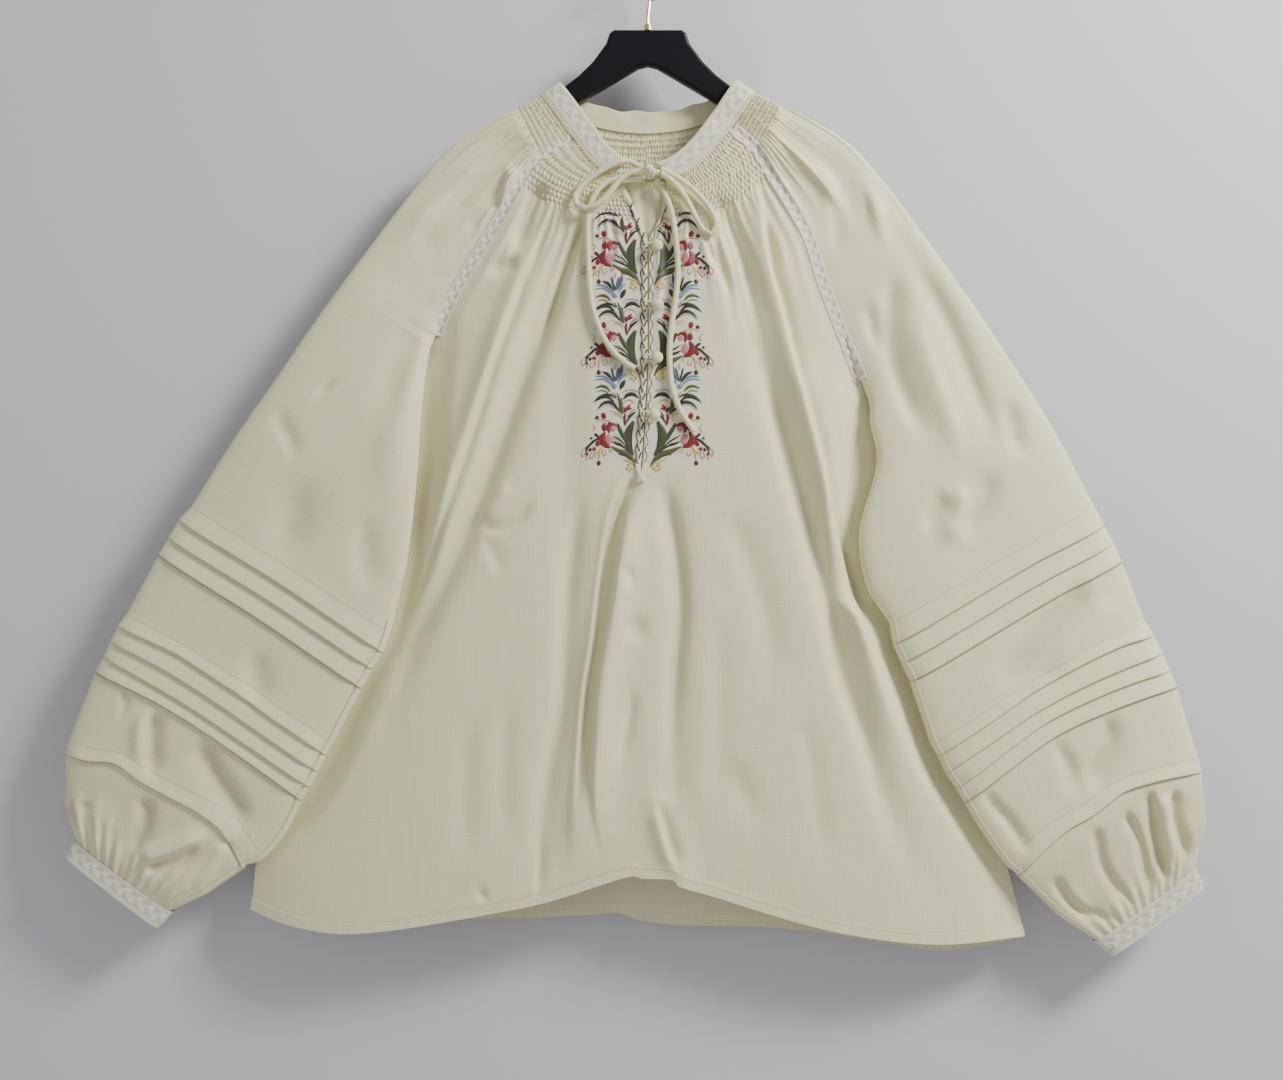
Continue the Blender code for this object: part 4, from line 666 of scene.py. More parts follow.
def points_at(path, travel, places):
    """Points of a line at given distances along it."""
    return np.column_stack([np.interp(places, travel, part) for part in path.T])


def column_at(table, key, value, at):
    """Read one column of a table, smoothed, at values of another column."""
    rows = smooth_path(table, 6)
    order = np.argsort(rows[:, key])
    return np.interp(at, rows[order, key], rows[order, value])


def smoothstep(t):
    """A soft step from 0 to 1."""
    t = np.clip(t, 0.0, 1.0)
    return t * t * (3 - 2 * t)


def fold_field(folds, x, z):
    """Height of a set of folds at points x, z."""
    total = np.zeros_like(x)
    for height, left, right, line in folds:
        path = smooth_path(line, 4)
        order = np.argsort(path[:, 1])
        middle = np.interp(z, path[order, 1], path[order, 0])
        across = x - middle
        width = np.where(across < 0, left, right)
        top, bottom = path[0, 1], path[-1, 1]
        reach = 0.22 * (top - bottom)
        fade = smoothstep((top + 12 - z) / reach) * smoothstep((z - bottom + 40) / reach)
        total += height * fade * np.exp(-(across / width) ** 2)
    return total


def panel_edge(side, column):
    """A panel's edge: the raglan seam, from a column of the rings, then the side seam."""
    raglan = [(ring[column], ring[column + 1]) for ring in SLEEVE_RINGS[side][:ARMPIT_RING + 1]]
    return raglan + SIDE_SEAM[side]


def edge_share(side, column, x, z):
    """How far across a panel a point lies: 0 at the centre, 1 at the edge."""
    return np.clip(x / column_at(panel_edge(side, column), 1, 0, z), 0.0, 1.0)


def front_depth(side, x, z):
    """The y of the inside of the front panel."""
    x = np.asarray(x, float)
    z = np.asarray(z, float)
    share = edge_share(side, FRONT_SEAM, x, z)
    centre = column_at(FRONT_CENTRE_DEPTH, 0, 1, z) - fold_field(FRONT_FOLDS, x, z)
    edge = column_at(EDGE_DEPTH[side], 0, 1, z)
    upper = edge + (centre - edge) * (1 - share ** 3)
    covered = COVERED_DEPTH + (edge - COVERED_DEPTH) * share ** 8
    clear = side * (column_at(COVER_LINE[side], 1, 0, z) - x)
    lower = edge + (centre - edge) * (1 - share ** 6)
    lower = covered + (lower - covered) * smoothstep((clear + 4) / 30)
    below = smoothstep((ARMPIT_Z[side] + 42 - z) / 42)
    return upper + (lower - upper) * below


def back_depth(side, x, z):
    """The y of the inside of the back panel."""
    x = np.asarray(x, float)
    z = np.asarray(z, float)
    share = edge_share(side, BACK_SEAM, x, z)
    centre = column_at(BACK_CENTRE_DEPTH, 0, 1, z) + fold_field(BACK_FOLDS, x, z)
    edge = column_at(EDGE_DEPTH[side], 0, 2, z)
    return edge + (centre - edge) * (1 - share ** 4)


def ring_values(side, ring):
    """One ring of a sleeve, smoothed between the rows of the table."""
    table = np.array(SLEEVE_RINGS[side], float)
    below = int(min(max(np.floor(ring), 0), len(table) - 2))
    a = table[max(below - 1, 0)]
    b, c = table[below], table[below + 1]
    d = table[min(below + 2, len(table) - 1)]
    t = ring - below
    if ring > TUCK_STITCH_RINGS[0] - 1:
        return b + (c - b) * t
    return between(a, b, c, d, t)


def even_turns(count):
    """Shares from 0 to 1, close together at both ends."""
    return (1 - np.cos(pi * np.arange(count + 1) / count)) / 2


def sleeve_ring(side, ring, columns=SLEEVE_COLUMNS, shares=None):
    """Points of one sleeve ring: front seam, outer fold, back seam."""
    values = ring_values(side, ring)
    share = min(max((ring - BULGE_RING) / BULGE_RINGS, 0.0), 1.0)
    bulge = INNER_BULGE[side] * sin(pi * share) * np.array([-side, -0.6])
    outer, front, rear = values[0:2], values[2:4] + bulge, values[4:6] + bulge
    deep_front, deep_rear, middle_out, middle_in, bow = values[6:11]
    if shares is None:
        shares = even_turns(columns // 2)
    closed = ring > ARMPIT_RING - 0.01
    lens = (1 - (1 - shares) ** 4) ** 0.25
    rounding = float(smoothstep((ring - ARMPIT_RING + 0.8) / 0.8))
    lens = lens + (rounded(shares) - lens) * rounding
    middle = middle_out + (middle_in - middle_out) * shares
    faces = []
    for seam, deep, sign in ((front, deep_front, -1), (rear, deep_rear, 1)):
        x = outer[0] + (seam[0] - outer[0]) * shares
        z = outer[1] + (seam[1] - outer[1]) * shares + bow * 4 * shares * (1 - shares)
        y = middle + sign * deep * lens
        x = x + side * seam_gap(ring) * shares ** 3
        if not closed:
            depth = front_depth if sign < 0 else back_depth
            target = float(depth(side, seam[0], seam[1]))
            y = y + (target - y[-1]) * shares ** 3
        elif sign > 0:
            limit = front_depth(side, x, z) - SLEEVE_CLEARANCE
            inside = np.abs(x) < np.abs(column_at(panel_edge(side, FRONT_SEAM), 1, 0, z)) + 12
            y = np.where(inside, np.minimum(y, limit), y)
            y = np.maximum(y, middle - deep_front * lens + 3.0 * lens)
        faces.append(np.column_stack([x, y, z]))
    return np.vstack([faces[0][::-1], faces[1][1:]])


def rounded(shares):
    """The outline of a flattened tube: its height at each share of the way across."""
    return (1 - np.abs(2 * shares - 1) ** ROUND_POWER) ** (1 / ROUND_POWER)


def seam_gap(ring):
    """The gap from a sleeve's seam edge to the body, wider at the armpit."""
    near = smoothstep((ring - ARMPIT_RING + 2.5) / 2.5) * smoothstep((ARMPIT_RING + 2 - ring) / 2)
    return SEAM_GAP + ARMPIT_GAP * near


def panel_grid(side, column, shares, drops, neck, hem, centre_x, depth):
    """A half panel's points that fan out from the neck to the hem, and its drops in millimetres."""
    edge = panel_edge(side, column)
    top_x = centre_x(neck[0][1])
    neck_x = top_x + (edge[0][0] - top_x) * shares
    neck_line = column_at(neck, 0, 1, neck_x)
    low_x = centre_x(HEM_CENTRE_Z)
    hem_line = column_at(hem, 0, 1, low_x + (edge[-1][0] - low_x) * shares)
    z = neck_line + (hem_line - neck_line) * drops[:, None]
    start = np.array([centre_x(value) for value in z[:, 0]])[:, None]
    end = column_at(edge, 1, 0, z[:, -1])[:, None] - side * SEAM_GAP / 2
    x = start + (end - start) * shares
    return np.stack([x, depth(side, x, z), z], axis=-1)


def neck_drops(side, column, neck, hem, upper, lower):
    """Fine rows through the smocking, then wider ones down to the hem."""
    edge = panel_edge(side, column)
    neck_z = column_at(neck, 0, 1, edge[0][0])
    hem_z = column_at(hem, 0, 1, edge[-1][0])
    smocked = (edge[SMOCKED_RING][1] - neck_z) / (hem_z - neck_z)
    start = 1.0 - HEM_ROWS[0] / (neck_z - hem_z)
    turned = [1.0 - row / (neck_z - hem_z) for row in HEM_ROWS[1:]]
    return np.concatenate([np.linspace(0, smocked, upper)[:-1],
                           np.linspace(smocked, start, lower), turned]), smocked


def hem_fold(drops, z):
    """The turned hem's rise, and a thin line of painted shade where its edge is sewn down."""
    above = (1.0 - drops)[:, None] * (z[:1] - z[-1:])
    rise = HEM_RISE * smoothstep((HEM_DEPTH + 0.3 - above) / 0.6)
    # Painted shade line just outside the turned edge
    line = 0.4 * np.exp(-((above - HEM_DEPTH - 0.2) / 0.5) ** 2)
    return rise, line


def slit_x(side, z):
    """The x of the front panel's centre edge: the slit, then the centre line."""
    if z < SLIT_BOTTOM_Z - 0.5:
        return float(column_at(CENTRE_LINE, 0, 1, z))
    return float(np.interp(-z, [-row[0] for row in SLIT_EDGES],
                           [row[1 if side < 0 else 2] for row in SLIT_EDGES]))


def puckers(strands, rows, seed):
    """Smocking: fine pleats pinched by rows of stitches, uneven from place to place."""
    random = np.random.RandomState(seed)
    drift = np.interp(rows * 1.7, np.arange(64), random.uniform(-0.3, 0.3, 64))
    heights = random.uniform(0.45, 1.15, (24, 128))
    leans = random.uniform(-0.22, 0.22, (24, 128))
    band = np.clip(np.floor(rows), 0, 23).astype(int)
    place = strands + drift + 0.25 * (band % 2)
    cell = np.clip(np.round(place), 0, 127).astype(int)
    across = place - cell
    along = rows - np.floor(rows)
    off = across + leans[band, cell] * (along - 0.5) * (1 - 4 * across ** 2)
    pleat = 0.5 + 0.5 * np.cos(2 * pi * np.clip(off, -0.5, 0.5))
    puff = np.abs(np.sin(pi * along)) ** 0.7
    return (0.06 + 0.94 * pleat * heights[band, cell]) * (0.2 + 0.8 * puff) - 0.4 * (1 - puff) ** 2


def front_surface(x, z):
    """The y of the outside of the front at one point."""
    side = -1 if x < 0 else 1
    return float(front_depth(side, x, z)) - WALL


def tie_points(route):
    """A tie's points, evenly spaced: its route in x, z and height, laid over the front."""
    above = TIE_CLEARANCE + TIE_DIAMETER / 2
    path = smooth_path([(x, front_surface(x, z) - above - height, z) for x, z, height in route], 6)
    travel = travel_of(path)
    places = np.linspace(0, travel[-1], int(travel[-1] / TIE_SPACING) + 2)
    return points_at(path, travel, places)


def placed(name, data):
    """A new object in the scene."""
    thing = bpy.data.objects.new(name, data)
    bpy.context.scene.collection.objects.link(thing)
    return thing


def grid_piece(name, points, material, uv, fields=None, skip=None):
    """A smooth surface through rows of points; the points and the pair uv are in millimetres."""
    index = np.arange(points[..., 0].size).reshape(points.shape[:2])
    faces = np.stack([index[:-1, :-1], index[:-1, 1:], index[1:, 1:], index[1:, :-1]], axis=-1)
    if skip is not None:
        faces = faces[~skip]
    faces = faces.reshape(-1, 4)
    mesh = bpy.data.meshes.new(name)
    mesh.from_pydata((points.reshape(-1, 3) * MM).tolist(), [], faces.tolist())
    flat = np.stack([np.broadcast_to(part, index.shape) for part in uv], axis=-1) * MM
    layer = mesh.uv_layers.new(name="UVMap")
    layer.data.foreach_set("uv", flat.reshape(-1, 2)[faces.ravel()].ravel())
    for key, values in (fields or {}).items():
        attribute = mesh.attributes.new(key, "FLOAT", "POINT")
        attribute.data.foreach_set("value", np.asarray(values, float).ravel())
    mesh.materials.append(material)
    mesh.shade_smooth()
    return placed(name, mesh)


def settle(thing, slot, *nodes):
    """A finished piece rides on the blouse and stands for its nodes."""
    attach(thing, "root")
    if nodes:
        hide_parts(*nodes)
    return thing


def nearest_on(path, x, z):
    """Signed distance from points to a line, and how far along it they lie, in millimetres.

    The distance is negative on the left of a line that runs down.
    """
    steps = np.diff(path, axis=0)
    lengths = np.linalg.norm(steps, axis=1)
    travel = travel_of(path)
    best = np.full(x.shape, 1e9)
    along = np.zeros(x.shape)
    side = np.ones(x.shape)
    for start, step, length, before in zip(path[:-1], steps, lengths, travel[:-1]):
        way = step / length
        dx = x - start[0]
        dz = z - start[1]
        share = np.clip(dx * way[0] + dz * way[1], 0, length)
        off = np.hypot(dx - share * way[0], dz - share * way[1])
        nearer = off < best
        best = np.where(nearer, off, best)
        along = np.where(nearer, before + share, along)
        turn = dz * way[0] - dx * way[1]
        side = np.where(nearer, np.where(turn < 0, -1.0, 1.0), side)
    return best * side, along, travel[-1]


def creases(table, x, z):
    """Height of a table of creases: height, left width, right width, fades and line."""
    total = np.zeros(x.shape)
    for height, left, right, fade_in, fade_out, line in table:
        path = smooth_path(line, 4)
        off, along, length = nearest_on(path, x, z)
        width = np.where(off < 0, left, right)
        fade_in = max(fade_in, 0.15 * length)
        fade_out = max(fade_out, 0.30 * length)
        fade = smoothstep((along + 1) / (fade_in + 1))
        fade = fade * smoothstep((length - along + 1) / (fade_out + 1))
        total += height * fade * np.exp(-(off / width) ** 2)
    return total * CREASE_GAIN


def gathers(strands, fall, count, seed, shortest, longest, sharp=0.34):
    """Folds that run away from a gathered edge: strands counts them across, fall is how far away."""
    random = np.random.RandomState(seed)
    total = np.zeros(np.broadcast(strands, fall).shape)
    for i in range(count):
        middle = i + 0.5 + random.uniform(-0.22, 0.22)
        reach = random.uniform(shortest, longest)
        height = random.uniform(0.6, 1.15)
        slant = random.uniform(-0.004, 0.004) * fall
        width = sharp * (1 + fall / reach * 0.8)
        ridge = np.exp(-((strands - middle - slant) / width) ** 2)
        total += height * ridge * (1 - smoothstep(fall / reach))
    return total


def new_material(name):
    """An empty procedural material and its shader."""
    material = bpy.data.materials.new(name)
    material.use_nodes = True
    return material, material.node_tree, material.node_tree.nodes["Principled BSDF"]


def link(tree, source, output, target, entry):
    """Join two sockets."""
    tree.links.new(source.outputs[output], target.inputs[entry])


def add_node(tree, kind, **settings):
    """Add a node and set its properties and inputs."""
    node = tree.nodes.new(kind)
    for key, value in settings.items():
        if key in node.inputs:
            node.inputs[key].default_value = value
        else:
            setattr(node, key, value)
    return node


def uv_noise(tree, scale, detail, roughness=0.5):
    """Noise laid along the cloth's own directions and stretched by scale."""
    place = add_node(tree, "ShaderNodeTexCoord")
    stretch = add_node(tree, "ShaderNodeMapping", Scale=scale)
    noise = add_node(tree, "ShaderNodeTexNoise", Scale=1.0, Detail=detail, Roughness=roughness)
    link(tree, place, "UV", stretch, "Vector")
    link(tree, stretch, "Vector", noise, "Vector")
    return noise


def narrow(tree, source, output, low, high):
    """Spread the values from low to high over 0 to 1."""
    tone = add_node(tree, "ShaderNodeMapRange")
    tone.inputs["From Min"].default_value = low
    tone.inputs["From Max"].default_value = high
    link(tree, source, output, tone, "Value")
    return tone


def blend(tree, factor, output, first, second):
    """Mix a colour, or the mix made before it, with a second colour."""
    mix = add_node(tree, "ShaderNodeMix", data_type="RGBA")
    link(tree, factor, output, mix, "Factor")
    if isinstance(first, (tuple, list)):
        mix.inputs[6].default_value = (*first, 1)
    else:
        tree.links.new(first.outputs[2], mix.inputs[6])
    mix.inputs[7].default_value = (*second, 1)
    return mix


def finish_shader(tree, shader, tone, relief, output, strength, distance):
    """Give a shader its colour and its fine relief."""
    bump = add_node(tree, "ShaderNodeBump", Strength=strength, Distance=distance)
    link(tree, relief, output, bump, "Height")
    link(tree, bump, "Normal", shader, "Normal")
    tree.links.new(tone.outputs[2], shader.inputs["Base Color"])


def cloth_material(name, colour, shade):
    """Woven cloth: a plain colour with soft slubs along the warp and a fine weave."""
    material, tree, shader = new_material(name)
    shader.inputs["Roughness"].default_value = 0.62
    shader.inputs["Specular IOR Level"].default_value = 0.35
    shader.inputs["Sheen Weight"].default_value = 0.12
    shader.inputs["Sheen Roughness"].default_value = 0.45
    slubs = uv_noise(tree, (420.0, 26.0, 1.0), 3.0, 0.6)
    wefts = uv_noise(tree, (60.0, 700.0, 1.0), 2.0)
    tone = blend(tree, narrow(tree, slubs, "Fac", 0.3, 0.7), "Result", shade, colour)
    # Painted shade in the folds and smocking, painted shade lines along the tuck edges, the hem's edge
    # and the underarm seam, and the pale patch, which is the cloth's own colour
    for field, tint in (("fold_shade", CLOTH_FOLD_SHADE), ("patch", PATCH_COLOUR), ("seam", SHADE_LINE_COLOUR)):
        share = add_node(tree, "ShaderNodeAttribute", attribute_name=field)
        tone = blend(tree, share, "Fac", tone, tint)
    total = add_node(tree, "ShaderNodeMath", operation="ADD")
    link(tree, slubs, "Fac", total, 0)
    link(tree, wefts, "Fac", total, 1)
    finish_shader(tree, shader, tone, total, "Value", 0.45, 0.0004)
    return material


def thread_material(name, colour):
    """Glossy stranded thread: fine ridges across the stitches and a light play of tone."""
    material, tree, shader = new_material(name)
    shader.inputs["Roughness"].default_value = 0.5
    shader.inputs["Sheen Weight"].default_value = 0.15
    strands = uv_noise(tree, (300.0, 2200.0, 1.0), 2.0)
    tone = blend(tree, strands, "Fac", [0.62 * value for value in colour],
                 [min(1.25 * value, 1.0) for value in colour])
    finish_shader(tree, shader, tone, strands, "Fac", 0.5, 0.0003)
    return material


def lace_material():
    """White cotton lace, with painted shade in its holes and low parts."""
    material, tree, shader = new_material("white_lace")
    shader.inputs["Roughness"].default_value = 0.85
    shader.inputs["Sheen Weight"].default_value = 0.2
    height = add_node(tree, "ShaderNodeAttribute", attribute_name="relief")
    # Painted shade: the lace darkens where its relief is low
    tone = blend(tree, narrow(tree, height, "Fac", -0.6, 0.45), "Result", LACE_HOLE_SHADE, LACE_COLOUR)
    threads = uv_noise(tree, (1500.0, 1500.0, 1500.0), 2.0)
    finish_shader(tree, shader, tone, threads, "Fac", 0.4, 0.0003)
    return material


def plain_material(name, colour, roughness, metallic=0.0, gloss=0.5):
    """A plain finish."""
    material, _, shader = new_material(name)
    shader.inputs["Base Color"].default_value = (*colour, 1)
    shader.inputs["Roughness"].default_value = roughness
    shader.inputs["Metallic"].default_value = metallic
    shader.inputs["Specular IOR Level"].default_value = gloss
    return material


def fold_shade_share(raised, gathered):
    """Painted shade from 0 to 1 for how deep each point lies in a fold; the gathered parts count less,
    and their low puckers get painted shade of their own.
    """
    sunk = smoothstep((-0.6 - raised) / 5.0)
    pinched = 0.75 * smoothstep((1.0 - raised) / 1.3)
    return np.clip(sunk * 0.55 * (1 - gathered) + pinched * gathered, 0, 1)


def patch_share(x, z):
    """The pale patch under the embroidery, with uneven edges."""
    ragged = 1.6 * np.sin(z / 2.9) + 1.2 * np.sin(z / 1.3 + 1.0)
    ragged = ragged + 2.6 * np.sin(2 * pi * z / MOTIF_PITCH)
    side = smoothstep((PATCH_HALF_WIDTH + ragged - np.abs(x - MOTIF_MIDDLE)) / 2.0)
    top = smoothstep((PATCH_TOP_Z - z + 0.06 * np.abs(x)) / 4.0)
    return 0.55 * side * top * smoothstep((z - PATCH_LOW_Z) / 4.0)


def side_flare(side, shares, z):
    """How far the side of the body stands out above the hem's corner."""
    rise = np.exp(-((z - FLARE_Z) / FLARE_REACH) ** 2)
    return side * SIDE_FLARE[side] * smoothstep((shares - 0.75) / 0.25) * rise


def panel_relief(strands, falls, edge, folds, pleats, seeds, longest):
    """Smocking above and gathers below it on the front or the back, and the smocked share."""
    held = 1 - smoothstep((falls - 0.9) / 0.12)
    raised = SMOCK_RISE * puckers(strands, falls * SMOCK_ROWS, seeds[0]) * held * edge
    below = np.maximum(falls - 0.85, 0) * SMOCK_DEEP
    gathered = gathers(strands * folds / pleats, below, folds, seeds[1], 30, longest)
    return raised + GATHER_RISE * gathered * edge * (1 - held), held


def make_front(material):
    """The front: smocking at the neck, gathers, folds, and the slit down to its end."""
    shares = np.linspace(0, 1, FRONT_FINE + 1)
    halves, fields = [], {"fold_shade": [], "patch": [], "seam": []}
    for side in (-1, 1):
        neck = FRONT_NECK[side]
        drops, smocked = neck_drops(side, FRONT_SEAM, neck, FRONT_HEM, *FRONT_ROWS)
        points = panel_grid(side, FRONT_SEAM, shares, drops, neck, FRONT_HEM,
                            lambda z: slit_x(side, z), front_depth)
        x, z = points[..., 0], points[..., 2]
        strands, falls = np.broadcast_arrays(shares * FRONT_PLEATS, (drops / smocked)[:, None])
        edge = smoothstep(shares * 14) * smoothstep((1 - shares) * 30)
        raised, held = panel_relief(strands, falls, edge, FRONT_GATHERS, FRONT_PLEATS,
                                    (3 + side, 11 + side), 150)
        raised += creases(FRONT_CREASES, x, z)
        raised -= np.maximum(raised - 0.2, 0) * under_ties(x, z)
        rise, line = hem_fold(drops, z)
        # Painted shade in the folds and smocking, and a painted shade line along the hem's turned edge
        fields["fold_shade"].append(fold_shade_share(raised, held))
        fields["patch"].append(patch_share(x, z))
        fields["seam"].append(line)
        reach = smoothstep((shares - 0.93) / 0.07) * np.exp(-((z - ARMPIT_Z[side]) / 32.0) ** 2)
        flare = side_flare(side, shares, z)
        points[..., 1] += 2.5 * reach - (raised + CLOTH_THICK + rise)
        points[..., 0] += side * ARMPIT_COVER * reach + flare
        halves.append(points)
    rows = np.concatenate([halves[0][:, ::-1], halves[1]], axis=1)
    middle = FRONT_FINE
    joined = rows[:, middle, 2] < SLIT_BOTTOM_Z
    centre = (rows[:, middle] + rows[:, middle + 1]) / 2
    rows[joined, middle] = centre[joined]
    rows[joined, middle + 1] = centre[joined]
    skip = np.zeros((rows.shape[0] - 1, rows.shape[1] - 1), bool)
    skip[:, middle] = True
    steps = np.linalg.norm(np.diff(rows[..., [0, 2]], axis=1), axis=2)
    across = np.cumsum(np.hstack([np.zeros((rows.shape[0], 1)), steps]), axis=1)
    across -= across[:, middle:middle + 1]
    joint = {key: np.concatenate([left[:, ::-1], right], axis=1)
             for key, (left, right) in fields.items()}
    cloth = grid_piece("front_cloth", rows, material, (across, -rows[..., 2]), joint, skip)
    return settle(cloth, "cloth", "front_left", "front_right", "front_lower")


def under_ties(x, z):
    """How far each point of the front lies under a cord of the bow, from 0 to 1."""
    near = np.full(x.shape, 1e9)
    for route in TIE_ROUTES.values():
        line = smooth_path([place[:2] for place in route], 4)
        near = np.minimum(near, np.abs(nearest_on(line, x, z)[0]))
    return 1 - smoothstep((near - 2.0) / 5.0)


def make_back(material):
    """The back, smocked at the neck."""
    shares = np.linspace(0, 1, BACK_FINE + 1)
    halves, fields = [], {"fold_shade": [], "seam": []}
    for side in (-1, 1):
        drops, smocked = neck_drops(side, BACK_SEAM, BACK_NECK, BACK_HEM, *BACK_ROWS)
        points = panel_grid(side, BACK_SEAM, shares, drops, BACK_NECK, BACK_HEM,
                            lambda z: 0.0, back_depth)
        x, z = points[..., 0], points[..., 2]
        strands, falls = np.broadcast_arrays(shares * BACK_PLEATS, (drops / smocked)[:, None])
        raised, held = panel_relief(strands, falls, smoothstep((1 - shares) * 30), BACK_GATHERS,
                                    BACK_PLEATS, (7 + side, 21 + side), 140)
        raised += creases(BACK_CREASES, x, z)
        rise, line = hem_fold(drops, z)
        # Painted shade in the folds and smocking, and a painted shade line along the hem's turned edge
        fields["fold_shade"].append(fold_shade_share(raised, held))
        fields["seam"].append(line)
        points[..., 1] += raised + rise
        points[..., 0] += side_flare(side, shares, z)
        points[..., 2] -= 10.0 * np.exp(-(x / 75.0) ** 2) * smoothstep(drops * 4 - 3)[:, None]
        halves.append(points)
    rows = np.concatenate([halves[0][:, :0:-1], halves[1]], axis=1)
    joint = {key: np.concatenate([left[:, :0:-1], right], axis=1)
             for key, (left, right) in fields.items()}
    cloth = grid_piece("back_cloth", rows, material, (rows[..., 0], -rows[..., 2]), joint)
    return settle(cloth, "cloth", "back_panel")


def fine_rings():
    """Where the rows of a fine sleeve lie, with the height that each tuck gives its row."""
    rings = [(r, 0.0) for r in np.linspace(0, 1.0, 40)]
    rings += [(r, 0.0) for r in np.arange(1.05, TUCK_STITCH_RINGS[0] - 0.05, 0.1)]
    last = rings[-1][0]
    tucks = [(13, 12), (14, 13.12), (15, 14.12), (17, 16), (18, 17.12), (19, 18.12), (20, 19.12),
             (22, 21)]
    for edge, start in tucks:
        if start - last > 0.3:
            rings += [(r, 0.0) for r in np.arange(last + 0.12, start - 0.06, 0.12)]
        for share in (0.0, 0.12, 0.3, 0.55, 0.8, 0.93, 1.0):
            rise = TUCK_RISE * (0.15 + 0.85 * smoothstep(share))
            rings.append((start + (edge - start) * share, rise))
        rings += [(edge + 0.012, TUCK_RISE * 0.55), (edge + 0.02, 0.0), (edge + 0.045, 0.0)]
        last = edge + 0.045
    rings += [(r, 0.0) for r in np.arange(last + 0.06, LAST_RING, 0.045)]
    return rings + [(LAST_RING, 0.0)]


def tuck_waves(side, places, spread):
    """How far the tucks ride up or down from a straight line round the sleeve."""
    table = TUCK_WAVES[side]
    ends = [row[0] for row in table]
    steps = np.array([np.interp(places, ends, [row[1][k] for row in table])
                      for k in range(len(WAVE_SHARES))])
    fine = np.linspace(0, 1, 41)
    raw = np.array([np.interp(fine, WAVE_SHARES, column) for column in steps.T])
    for _ in range(3):
        raw[:, 1:-1] = (raw[:, :-2] + 2 * raw[:, 1:-1] + raw[:, 2:]) / 4
    return np.array([np.interp(spread, fine, row) for row in raw])


def make_underarm_seam(name, rows, places, material):
    """The stitched seam along the sleeve's inner edge, crossed by the ends of the tucks."""
    start = rows[:, 0]
    way = rows[:, 14] - start
    way /= np.linalg.norm(way, axis=1)[:, None]
    reach = np.array([-0.3, 0.5, 1.2, 2.8, 4.4, 5.0, 5.3])
    rise = np.array([-1.2, 0.5, 0.9, 1.0, 0.9, 0.6, -0.4])
    points = np.zeros((len(rows), len(reach), 3))
    seam = np.zeros(points.shape[:2])
    for index, row in enumerate(rows[:, :30]):
        travel = travel_of(row[:, [0, 2]])
        bar = any(abs(places[index] - edge) < 0.03 for edge in TUCK_EDGE_RINGS)
        line = points_at(row, travel, np.maximum(reach, 0.0))
        line[:, 1] = np.minimum(line[:, 1], row[:, 1].max()) - rise - (0.6 if bar else 0.0)
        line[:, [0, 2]] += np.minimum(reach, 0.0)[:, None] * way[index, [0, 2]]
        points[index] = line
        # Painted shadow line where a tuck's end crosses the seam
        seam[index] = 0.5 if bar else 0.0
    # Painted shade along the strip's edges, where it meets the sleeve
    seam[:, [0, 5, 6]] = 0.6
    strip = grid_piece(name, points, material, (reach, points[..., 2]), {"seam": seam})
    settle(strip, "cloth")


def sleeve_relief(side, spread, fall, tucks, x, z):
    """How far the cloth of a sleeve stands out, and the painted shade for how deep each point lies in
    a fold.
    """
    lens = smoothstep((1 - np.abs(2 * spread - 1)) * 6)
    front = np.arange(len(spread)) <= len(spread) // 2
    held = 1 - smoothstep((fall - 0.9) / 0.15)
    strands = np.broadcast_to(spread * SLEEVE_PLEATS, x.shape)
    raised = SLEEVE_SMOCK_RISE * puckers(strands, fall * SLEEVE_SMOCK_ROWS, 31 + side) * held
    strands = np.broadcast_to(spread * SLEEVE_GATHERS, x.shape)
    below = np.maximum(fall - 0.85, 0) * SLEEVE_RING_DEEP
    pulled = gathers(strands, below, SLEEVE_GATHERS, 41 + side, 25, 130)
    raised += SLEEVE_GATHER_RISE * pulled * (1 - held)
    raised *= np.where(fall < ARMPIT_RING, smoothstep((1 - spread) * 20), 1.0)
    above_cuff = LAST_RING - fall
    near_cuff = smoothstep((2.0 - above_cuff) / 0.5)
    above = above_cuff * CUFF_RING_DEEP
    pulled = gathers(spread * CUFF_PLEATS, above, CUFF_PLEATS, 51 + side, 22, 62, 0.3)
    raised += CUFF_RISE * pulled * near_cuff * (0.35 + 0.65 * smoothstep(above_cuff / 0.5))
    raised += tucks[:, None]
    before, behind = creases(SLEEVE_CREASES[side], x, z), creases(SLEEVE_BACK_CREASES[side], x, z)
    raised += np.where(front, before, behind) * lens
    over_hanger = smoothstep((z - HANGER_LOW_Z) / 40)
    raised = np.where(raised < 0, raised * (1 - 0.75 * over_hanger), raised)
    # Painted shade in the folds, the smocking and the gathers at the cuff
    fold_shade = fold_shade_share(raised, np.maximum(held, 0.6 * near_cuff))
    out = raised * (0.25 + 0.75 * lens) + CLOTH_THICK
    return np.where(front, -out, out), fold_shade


